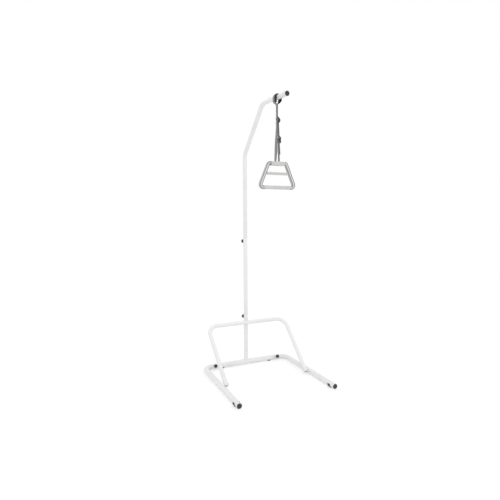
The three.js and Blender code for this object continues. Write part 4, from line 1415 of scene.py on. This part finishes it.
@dataclass
class Strap:
    """Lined loop on the boom, two buckles and the webbing that carries the handle."""

    shop: Workshop
    centre: float = -502.0
    boom_height: float = 1829.93
    boom_slope: float = 0.085
    width: float = 20.0
    thickness: float = 2.0
    boom_radius: float = 15.0
    play: float = 1.6
    lining: float = 4.0
    lining_width: float = 30.0
    lining_wrap: float = math.radians(48)
    front_flap: float = 11.0
    rear_flap: float = 2.0
    stretch: float = 17.5
    gap: float = 0.3
    pinch_drop: float = 44.5
    pinch_radius: float = 5.0
    sewn: float = 63.0
    parting_radius: float = 10.0
    bar_radius: float = 2.5
    bar_clearance: float = 0.5
    upper_drop: float = 124.0
    upper_height: float = 33.0
    upper_bow: float = 13.5
    upper_bar_out: float = 10.5
    lower_height: float = 30.0
    lower_bow: float = 9.6
    lower_bar_out: float = 8.5
    lower_rise: float = 132.0
    lower_offset: float = 17.0
    curve_drop: float = 30.0
    curve_rise: float = 50.0
    curve_share: float = 0.9
    handle_drop: float = 263.0
    bridge_half: float = 10.8
    bridge_corner: float = 3.0
    bridge_height: float = 8.0
    tail: float = 76.0
    flap: float = 12.0
    slack: tuple[tuple[float, float, float], ...] = (
        (1, 4, 0), (23, 15, 1.4), (67, 32, 4.2), (132, 21, 2.0), (186, 9, 0.4), (214, 0, 0),
    )

    @property
    def webbing(self) -> WovenWebbing:
        """Finish of the webbing."""
        return WovenWebbing("grey_woven_webbing", Slot.WEBBING, self.centre, self.width)

    @property
    def layer(self) -> float:
        """Distance of each sewn layer's middle from the strap's own middle."""
        return self.thickness / 2 + self.gap / 2

    @property
    def loop_radius(self) -> float:
        """Radius of the webbing's middle over the boom."""
        return self.boom_radius + self.play + self.lining + self.gap + self.thickness / 2

    @property
    def loop_top(self) -> float:
        """Height of the centre that the loop's top turns round."""
        return self.boom_height - self.play + self.gap + self.lining_width / 2 * self.boom_slope

    @property
    def loop_low(self) -> float:
        """Height of the centre that the loop's lower bend turns round."""
        return self.loop_top - self.stretch

    @property
    def pinch(self) -> float:
        """Height at which the loop's two sides meet."""
        return self.boom_height - self.pinch_drop

    @property
    def wrap(self) -> float:
        """Radius of the webbing's middle round a buckle's bar."""
        return self.bar_radius + self.bar_clearance + self.thickness / 2

    @property
    def buckle_x(self) -> float:
        """Place of the upper buckle's bars, beside the strap's middle."""
        return self.wrap - self.layer

    @property
    def upper_bar(self) -> float:
        """Height of the upper buckle's top bar."""
        return self.boom_height - self.upper_drop

    @property
    def second_drop(self) -> float:
        """Drop from the upper buckle's top bar to the bar that the lower webbing hangs on."""
        return 2 * (self.wrap + self.thickness / 2) + self.bar_clearance

    @property
    def handle_x(self) -> float:
        """Place of the handle's middle."""
        return self.buckle_x / 2

    @property
    def handle_top(self) -> float:
        """Height of the handle's top."""
        return self.upper_bar - self.handle_drop

    @property
    def lower_middle(self) -> float:
        """Height of the lower buckle's middle."""
        return self.handle_top + self.lower_rise

    def build(self) -> None:
        """Make every piece of the strap."""
        self.upper_webbing()
        self.sleeve()
        self.lower_webbing()
        self.buckles()

    def belt(self, bars: Sequence[Bar], thickness: float, width: float, closed: bool = False) -> Sweep:
        """Lay flat webbing round bars.

        Args:
            bars: Bars in order; the first and last of an open belt have no radius.
            thickness: Thickness of the webbing.
            width: Width of the webbing.
            closed: Whether the belt comes back to its first bar.

        Returns:
            The webbing.
        """
        count = len(bars)
        headings = [here.heading(there) for here, there in zip(bars, [*bars[1:], bars[0]])]
        if not closed:
            headings.pop()
        begin = bars[0].touch(headings[0], self.centre)
        sweep = Sweep(begin, Vector((math.cos(headings[0]), 0, math.sin(headings[0]))), Y_AXIS)
        half_width, half = width / 2, thickness / 2
        corners = [(-half_width, -half), (half_width, -half), (half_width, half), (-half_width, half)]
        sweep.start(sweep.outline(corners, sweep.frame(), 0.72 * min(half, 1.4), 3))
        for index in [*range(1, count), 0] if closed else range(1, count):
            bar = bars[index]
            target = bar.touch(headings[index - 1], self.centre)
            self.lay(sweep, (target - sweep.point).length)
            if index < len(headings):
                self.wind(sweep, bar, headings[index] - headings[index - 1])
        if closed:
            sweep.join()
        else:
            sweep.finish()
        return sweep

    @staticmethod
    def lay(sweep: Sweep, length: float) -> None:
        """Lay a straight length in short steps, where there is any."""
        if length > 1e-3:
            sweep.straight(length, max(1, round(length / 6)))

    def wind(self, sweep: Sweep, bar: Bar, turn: float) -> None:
        """Bend the webbing round a bar.

        Args:
            sweep: The webbing.
            bar: The bar.
            turn: Angle from the arriving to the leaving heading, whole turns aside.
        """
        angle = (bar.turn * turn) % (2 * math.pi)
        if bar.radius and 1e-3 < angle < 2 * math.pi - 1e-3:
            steps = max(2, round(math.degrees(angle) / 8), round(angle * bar.radius / 8))
            sweep.bend(Vector((bar.x, self.centre, bar.z)), -Y_AXIS, bar.turn * angle, steps)

    def upper_webbing(self) -> None:
        """Make the loop of webbing on the boom with its stitches."""
        inner = self.pinch_radius + self.layer
        bars = [
            Bar(0, self.loop_top, self.loop_radius, -1),
            Bar(0, self.loop_low, self.loop_radius, -1),
            Bar(inner, self.pinch, self.pinch_radius, 1),
            Bar(self.parting_radius + self.layer, self.pinch - self.sewn, self.parting_radius, 1),
            Bar(self.buckle_x, self.upper_bar, self.wrap, -1),
            Bar(-inner, self.pinch, self.pinch_radius, 1),
            Bar(0, self.loop_low, self.loop_radius, -1),
        ]
        solid = self.belt(bars, self.thickness, self.width, closed=True)
        self.shop.piece("loop_webbing", solid, Body.STRAP, [self.webbing], "upper_strap")
        stitches = Solid()
        for side in (-1, 1):
            x = side * (self.layer + self.thickness / 2 + 0.02)
            self.stitch_box(stitches, x, side, self.pinch - 5, self.pinch - self.sewn + 4)
        self.shop.piece("loop_stitching", stitches.close(), Body.STRAP, [THREAD])

    def stitch_box(self, solid: Solid, x: float, side: int, top: float, bottom: float) -> None:
        """Sew a box with a cross on a flat stretch of webbing.

        Args:
            solid: Where the stitches go.
            x: Face that they lie on.
            side: Sign of that face's normal.
            top: Height of the box's top.
            bottom: Height of the box's bottom.
        """
        half = self.width / 2 - 3.0
        low, high = self.centre - half, self.centre + half
        lines = [
            ((low, top), (high, top)), ((low, bottom), (high, bottom)), ((low, top), (low, bottom)),
            ((high, top), (high, bottom)), ((low, top), (high, bottom)), ((high, top), (low, bottom)),
        ]
        for (y0, z0), (y1, z1) in lines:
            start, end = Vector((x, y0, z0)), Vector((x, y1, z1))
            count = max(1, round((end - start).length / 2.8))
            direction = (end - start).normalized()
            for index in range(count):
                middle = start.lerp(end, (index + 0.5) / count)
                matrix = facing(direction, middle, X_AXIS * side) @ Matrix.Diagonal((0.3, 0.45, 1.15, 1.0))
                bmesh.ops.create_uvsphere(solid.bm, u_segments=8, v_segments=6, radius=1.0, matrix=matrix)

    def sleeve(self) -> None:
        """Make the lining sleeve inside the loop."""
        radius = self.boom_radius + self.play + self.lining / 2
        lip = self.lining / 2
        x = radius * math.cos(self.lining_wrap) - lip * math.sin(self.lining_wrap)
        end = self.loop_low - radius * math.sin(self.lining_wrap) - lip * math.cos(self.lining_wrap)
        bars = [
            Bar(-x, end, 0, 1),
            Bar(0, self.loop_low, radius, -1),
            Bar(0, self.loop_top, radius, -1),
            Bar(0, self.loop_low, radius, -1),
            Bar(x, end, 0, 1),
        ]
        solid = self.belt(bars, self.lining, self.lining_width)
        for vert in solid.bm.verts:
            across = vert.co.y - self.centre
            if abs(across) > self.width / 2:
                flap = self.front_flap if across < 0 else self.rear_flap
                vert.co.y += math.copysign(flap, across) * min(1.0, (vert.co.x / 15.0) ** 2)
        self.shop.piece("loop_lining", solid, Body.STRAP, [LINING], "boom_sleeve")

    def lower_webbing(self) -> None:
        """Make the long webbing that runs through the handle and back to the lower buckle."""
        drop = self.lower_height / 2 - self.bar_radius
        top, bottom = self.lower_middle + drop, self.lower_middle - drop
        bridge = self.bridge_corner + self.bar_clearance + self.thickness / 2
        foot = self.handle_top - self.bridge_height + self.bridge_corner
        left = self.handle_x + self.bridge_corner - self.bridge_half
        right = self.handle_x + self.bridge_half - self.bridge_corner
        second = self.upper_bar - self.second_drop
        curve_top, curve_foot = second - self.curve_drop, self.handle_top + self.curve_rise
        strand, spread = left - bridge, bridge - left - self.layer
        curve = self.curve_share * ((curve_top - curve_foot) ** 2 + spread ** 2) / (4 * spread)
        bars = [
            Bar(self.lower_offset - self.wrap + self.thickness + self.bar_clearance, top + self.flap, 0, -1),
            Bar(self.lower_offset, top, self.wrap, -1),
            Bar(self.buckle_x, second, self.wrap, 1),
            Bar(-self.layer - curve, curve_top, curve, -1),
            Bar(strand + curve, curve_foot, curve, 1),
            Bar(left, foot, bridge, 1),
            Bar(right, foot, bridge, 1),
            Bar(self.lower_offset, bottom, self.wrap + self.thickness + self.gap, -1),
            Bar(self.lower_offset - self.lower_bar_out, self.lower_middle, self.wrap, -1),
            Bar(self.lower_offset, bottom, self.wrap, 1),
            Bar(self.lower_offset + self.thickness / 2, bottom - self.tail, 0, 1),
        ]
        solid = self.belt(bars, self.thickness, self.width)
        self.slacken(solid)
        self.shop.piece("handle_webbing", solid, Body.HANDLE, [self.webbing], "lower_strap")

    def slacken(self, sweep: Sweep) -> None:
        """Let the left strand above the handle turn and lean, as loose webbing does.

        Args:
            sweep: The long webbing.
        """
        for vert in sweep.bm.verts:
            run = vert[sweep.run]
            point = min(sweep.stations, key=lambda station: abs(station[0] - run))[1]
            height = point.z - self.handle_top
            if point.x < 0 and self.slack[0][0] < height < self.slack[-1][0]:
                angle, lean = self.slack_at(height)
                turn = Matrix.Rotation(math.radians(angle), 4, Z_AXIS)
                vert.co = point + X_AXIS * lean + turn @ (vert.co - point)
        bmesh.ops.recalc_face_normals(sweep.bm, faces=sweep.bm.faces)

    def slack_at(self, height: float) -> tuple[float, float]:
        """Turn and lean of the left strand.

        Args:
            height: Height above the handle's top.

        Returns:
            The turn in degrees and the lean towards +X.
        """
        for (low, turn_low, lean_low), (high, turn_high, lean_high) in zip(self.slack, self.slack[1:]):
            if low <= height <= high:
                share = (height - low) / (high - low)
                share = share * share * (3 - 2 * share)
                return turn_low + (turn_high - turn_low) * share, lean_low + (lean_high - lean_low) * share
        return 0.0, 0.0

    def buckles(self) -> None:
        """Make the two slide buckles, the upper one bowed to +X and the lower one to -X."""
        middle = self.upper_height / 2 - self.bar_radius
        upper = Buckle(
            self.width, self.upper_height, self.upper_bow,
            ((0, 0), (0, self.second_drop), (self.upper_bar_out, middle)), 8.0,
        )
        place = Vector((self.buckle_x, self.centre, self.upper_bar - middle))
        solid = upper.model(Matrix.Translation(place) @ Matrix.Rotation(math.pi / 2, 4, "X"))
        self.shop.piece("upper_slide_buckle", solid, Body.HANDLE, [BLACK], "upper_buckle")
        middle = self.lower_height / 2 - self.bar_radius
        lower = Buckle(
            self.width, self.lower_height, self.lower_bow,
            ((0, 0), (self.lower_bar_out, middle), (0, 2 * middle)),
        )
        place = Vector((self.lower_offset, self.centre, self.lower_middle))
        turn = Matrix.Rotation(math.pi, 4, "Z") @ Matrix.Rotation(math.pi / 2, 4, "X")
        solid = lower.model(Matrix.Translation(place) @ turn)
        self.shop.piece("lower_slide_buckle", solid, Body.HANDLE, [BLACK], "lower_buckle")


@dataclass
class TrapezeHandle:
    """Moulded trapezoid with rimmed side bars, a smooth lower grip, a ribbed bar and a saddle."""

    shop: Workshop
    middle: float
    top: float
    centre: float = -502.0
    height: float = 170.0
    top_width: float = 131.5
    bottom_width: float = 274.5
    side_bar: float = 18.0
    depth: float = 20.0
    web: float = 15.6
    rim: float = 4.9
    top_corner: float = 22.0
    bottom_corner: float = 28.0
    saddle_width: float = 96.0
    saddle_height: float = 24.0
    saddle_depth: float = 30.0
    bridge_half: float = 10.8
    slot_width: float = 3.6
    slot_length: float = 20.8
    bridge_height: float = 8.0
    grip_drop: float = 73.0
    grip_core: float = 7.3
    grip_rib: float = 2.7
    grip_ribs: int = 8
    grip_length: float = 146.0
    core_radius: float = 6.0
    lower_bar: float = 23.6
    lower_grip: float = 196.0
    lower_flatness: float = 0.93
    tuck_half: float = 86.0
    tuck_end: float = 90.0
    tuck_share: float = 0.55

    @property
    def slope(self) -> float:
        """Widening of each side for each millimetre down."""
        return (self.bottom_width - self.top_width) / 2 / self.height

    def half_at(self, drop: float) -> float:
        """Half of the outline's width at a drop below the top."""
        return self.top_width / 2 + self.slope * drop

    def point(self, x: float, drop: float) -> Vector:
        """Point in the handle's middle plane, from its own middle and top."""
        return Vector((self.middle + x, self.centre, self.top - drop))

    def build(self) -> None:
        """Make every piece of the handle."""
        self.frame_ring()
        self.ribbed_grip()

    def frame_ring(self) -> None:
        """Make the ring with its rims, the lower bar and the saddle."""
        sweep = self.ring()
        self.bar(sweep)
        self.saddle(sweep)
        self.core(sweep)
        # Beside the pale moulding, the finishes are painted shade on the rims, painted shade on the side
        # walls and a painted highlight on the web.
        self.shop.piece("moulded_handle", sweep, Body.HANDLE, [PALE, RIM_PAINTED_SHADE, WALL_PAINTED_SHADE, WEB_PAINTED_HIGHLIGHT], "trapeze_handle")

    def ring(self) -> Sweep:
        """Sweep the rimmed section round the trapezoid.

        Returns:
            The closed ring.
        """
        inset = self.side_bar / 2
        lean = math.hypot(1, self.slope)
        half_top = self.half_at(inset) - inset * lean
        half_low = self.half_at(self.height - inset) - inset * lean
        start, low = self.point(0, inset), self.height - inset
        corners = [
            self.point(half_top, inset), self.point(half_low, low),
            self.point(-half_low, low), self.point(-half_top, inset), start,
        ]
        sweep = Sweep(start, X_AXIS, Y_AXIS)
        half, deep, thin = self.side_bar / 2, self.depth / 2, self.web / 2
        inner = half - self.rim
        front = [(-deep, half), (-deep, inner), (-thin, inner - 1.2)]
        front += [(x, -y) for x, y in reversed(front)]
        section = front + [(-x, -y) for x, y in front]
        sweep.start(sweep.outline(section, sweep.frame(), 0.95, 3))
        top, bottom = self.top_corner - inset, self.bottom_corner - inset
        sweep.follow(corners, [top, bottom, bottom, top], 12)
        sweep.join()
        # Painted shade and highlight: sideways faces take the shaded wall copy, rim faces the shaded rim
        # copy and the recessed web the lighter copy.
        for face in sweep.bm.faces:
            depth = abs(face.calc_center_median().y - self.centre)
            if abs(face.normal.y) < 0.5:
                face.material_index = 2
            else:
                face.material_index = 3 if depth < self.web / 2 + 0.8 else 1
        self.tuck(sweep)
        return sweep

    def tuck(self, sweep: Sweep) -> None:
        """Draw the ring in where the lower grip covers it.

        Args:
            sweep: The ring.
        """
        floor = self.top - self.height + self.side_bar + 1
        for reach in (self.tuck_half, self.tuck_end, -self.tuck_half, -self.tuck_end):
            low = [face for face in sweep.bm.faces if max(vert.co.z for vert in face.verts) < floor]
            items = {item for face in low for item in (face, *face.edges, *face.verts)}
            bmesh.ops.bisect_plane(
                sweep.bm, geom=list(items), dist=MERGE, plane_co=self.point(reach, 0), plane_no=X_AXIS
            )
        axis = self.point(0, self.height - self.lower_bar / 2)
        for vert in sweep.bm.verts:
            if vert.co.z < floor and abs(vert.co.x - self.middle) < self.tuck_half + 1:
                vert.co.yz = axis.yz + (vert.co.yz - axis.yz) * self.tuck_share

    def bar(self, solid: Solid) -> None:
        """Add the smooth lower grip.

        Args:
            solid: The handle.
        """
        drop = self.height - self.lower_bar / 2
        flat = Matrix.Diagonal((self.lower_flatness, 1.0, 1.0, 1.0))
        end = [(0.0, 0.80), (0.004, 0.93), (0.0125, 1.0)]
        stations = [*end, (0.5, 1.0), *((1 - share, size) for share, size in reversed(end))]
        solid.cap(solid.loft(
            solid.ring(
                self.lower_bar / 2 * size, 48,
                facing(X_AXIS, self.point((share - 0.5) * self.lower_grip, drop), Y_AXIS) @ flat,
            )
            for share, size in stations
        ))

    def saddle(self, solid: Solid) -> None:
        """Add the block that the webbing passes through, as walls round its two slots.

        Args:
            solid: The handle.
        """
        outer = self.bridge_half + self.slot_width
        middle = self.saddle_height / 2
        before = set(solid.bm.faces)
        for side in (-1, 1):
            cheek = self.saddle_width / 2 - outer
            place = Matrix.Translation(self.point(side * (outer + cheek / 2), middle))
            solid.box((cheek, self.saddle_depth, self.saddle_height), place, 3.2, 3)
            wall = (self.saddle_depth - self.slot_length) / 2
            across = Y_AXIS * side * (self.saddle_depth - wall) / 2
            place = Matrix.Translation(self.point(0, middle) + across)
            solid.box((2 * outer + 5, wall, self.saddle_height), place, 1.6, 3)
        place = Matrix.Translation(self.point(0, self.bridge_height / 2))
        solid.box((2 * self.bridge_half, self.slot_length + 3, self.bridge_height), place, 2.2, 3)
        # Painted shade: the saddle's end faces take the darker rim copy of the moulding.
        for face in set(solid.bm.faces) - before:
            end = abs(face.calc_center_median().x - self.middle) > self.saddle_width / 2 - 1.5
            face.material_index = 1 if end else 0

    def core(self, solid: Solid) -> None:
        """Add the bar inside the ribbed grip.

        Args:
            solid: The handle.
        """
        reach = self.half_at(self.grip_drop) - self.side_bar * 0.55
        place = facing(X_AXIS, self.point(-reach, self.grip_drop))
        radius = self.core_radius
        solid.turned([(0, 0), (radius, 0), (radius, 2 * reach), (0, 2 * reach)], place, 32)
        bmesh.ops.recalc_face_normals(solid.bm, faces=solid.bm.faces)

    def ribbed_grip(self) -> None:
        """Make the ribbed sleeve of the cross bar."""
        solid = Solid()
        bore = self.core_radius + CLEARANCE
        pitch, end = self.grip_length / self.grip_ribs, self.grip_length
        profile = [(bore, 0.0), (self.grip_core - 0.3, 0.0), (self.grip_core, 0.5)]
        fine = 12
        for rib in range(self.grip_ribs):
            for step in range(1, fine):
                share = step / fine
                swell = self.grip_rib * math.sin(math.pi * share) ** 3
                profile.append((self.grip_core + swell, (rib + share) * pitch))
        profile += [(self.grip_core, end - 0.5), (self.grip_core - 0.3, end), (bore, end), profile[0]]
        solid.turned(profile, facing(X_AXIS, self.point(-end / 2, self.grip_drop)), 48)
        self.shop.piece("ribbed_finger_grip", solid.close(), Body.HANDLE, [PALE], "ribbed_grip")


@dataclass
class Studio:
    """Pale floor, white surroundings, soft lamps and the photograph's camera."""

    focal: float = 404.35
    picture: float = 500.0
    eye: tuple[float, float, float] = (-1184.06, -2745.16, 1077.80)
    azimuth: float = -0.41871
    pitch: float = 0.07132
    roll: float = -0.0057
    floor_size: float = 12.0
    floor_bounce: float = 0.95
    floor_shade: float = 0.46
    floor_glow: float = 0.655
    floor_white: tuple[float, float] = (0.87, 0.95)
    floor_fade: tuple[float, float] = (1.2, 3.2)
    soft_light: float = 0.835

    def build(self) -> None:
        """Make the camera, the floor, the world and the lamps."""
        self.camera()
        self.floor()
        self.world()
        self.lamps()
        bpy.context.scene.view_settings.view_transform = "Standard"
        log.info("studio: ready")

    def camera(self) -> None:
        """Place the camera where the photograph was taken from."""
        data = bpy.data.cameras.new("camera")
        data.sensor_width = 36.0
        data.lens = self.focal * data.sensor_width / self.picture
        data.clip_end = 100.0
        right = Vector((math.cos(self.azimuth), math.sin(self.azimuth), 0))
        level = Vector((-math.sin(self.azimuth), math.cos(self.azimuth), 0))
        forward = level * math.cos(self.pitch) - Z_AXIS * math.sin(self.pitch)
        up = Z_AXIS * math.cos(self.pitch) + level * math.sin(self.pitch)
        x = right * math.cos(self.roll) + up * math.sin(self.roll)
        y = up * math.cos(self.roll) - right * math.sin(self.roll)
        turn = Matrix((x, y, -forward)).transposed().to_4x4()
        place = Matrix.Translation((Vector(self.eye) + Vector((0, MAST_Y, 0))) * MILLIMETRE)
        camera = bpy.data.objects.new("camera", data)
        camera.matrix_world = place @ turn
        bpy.context.scene.collection.objects.link(camera)
        bpy.context.scene.camera = camera

    def floor(self) -> None:
        """Lay a pale floor that the camera sees as white, with the object's shadow."""
        bm = bmesh.new()
        bmesh.ops.create_grid(bm, x_segments=2, y_segments=2, size=self.floor_size / 2)
        obj = as_object("floor", bm)
        graph = Graph("pale_floor")
        bounce, shade = (
            graph.node("ShaderNodeBsdfDiffuse", {}, {"Color": (level, level, level, 1)})
            for level in (self.floor_bounce, self.floor_shade)
        )
        away = graph.value("ShaderNodeVectorMath", {"operation": "LENGTH"}, {0: graph.place()}, "Value")
        near, far = ((level, level, level) for level in self.floor_white)
        white = graph.blend(away.between(*self.floor_fade), near, far)
        glow = graph.node("ShaderNodeEmission", {}, {"Color": white, "Strength": self.floor_glow})
        lit = graph.node("ShaderNodeAddShader", {}, {0: shade.outputs[0], 1: glow.outputs[0]})
        graph.split(lit, bounce)
        obj.data.materials.append(graph.owner)

    def world(self) -> None:
        """Surround the object with white."""
        graph = Graph("white_room", world=True)
        bpy.context.scene.world = graph.owner
        white = (1, 1, 1, 1)
        graph.set(color=white, strength=self.soft_light)
        graph.split(graph.node("ShaderNodeBackground", {}, {"Color": white, "Strength": 1.0}), graph.shader)

    def lamps(self) -> None:
        """Hang three soft lamps: one above, one at the left front and one at the right."""
        for name, place, target, size, power in (
            ("top_lamp", (0.0, -0.6, 4.2), (0.0, 0.0, 0.9), 3.0, 24.0),
            ("front_lamp", (-2.6, -3.2, 2.4), (0.0, 0.0, 0.9), 2.2, 19.0),
            ("side_lamp", (3.4, -0.8, 2.0), (0.0, 0.0, 0.8), 2.2, 9.0),
        ):
            data = bpy.data.lights.new(name, "AREA")
            data.shape = "SQUARE"
            data.size = size
            data.energy = power
            lamp = bpy.data.objects.new(name, data)
            lamp.matrix_world = facing(Vector(place) - Vector(target), Vector(place))
            bpy.context.scene.collection.objects.link(lamp)


def main() -> None:
    """Dress the frame piece by piece."""
    logging.basicConfig(level=logging.INFO, format="%(name)s: %(message)s")
    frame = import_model()
    Studio().build()
    shop = Workshop(frame)
    FloorFrame(shop).build()
    Mast(shop).build()
    strap = Strap(shop)
    strap.build()
    TrapezeHandle(shop, strap.handle_x, strap.handle_top).build()


if __name__ == "__main__":
    main()
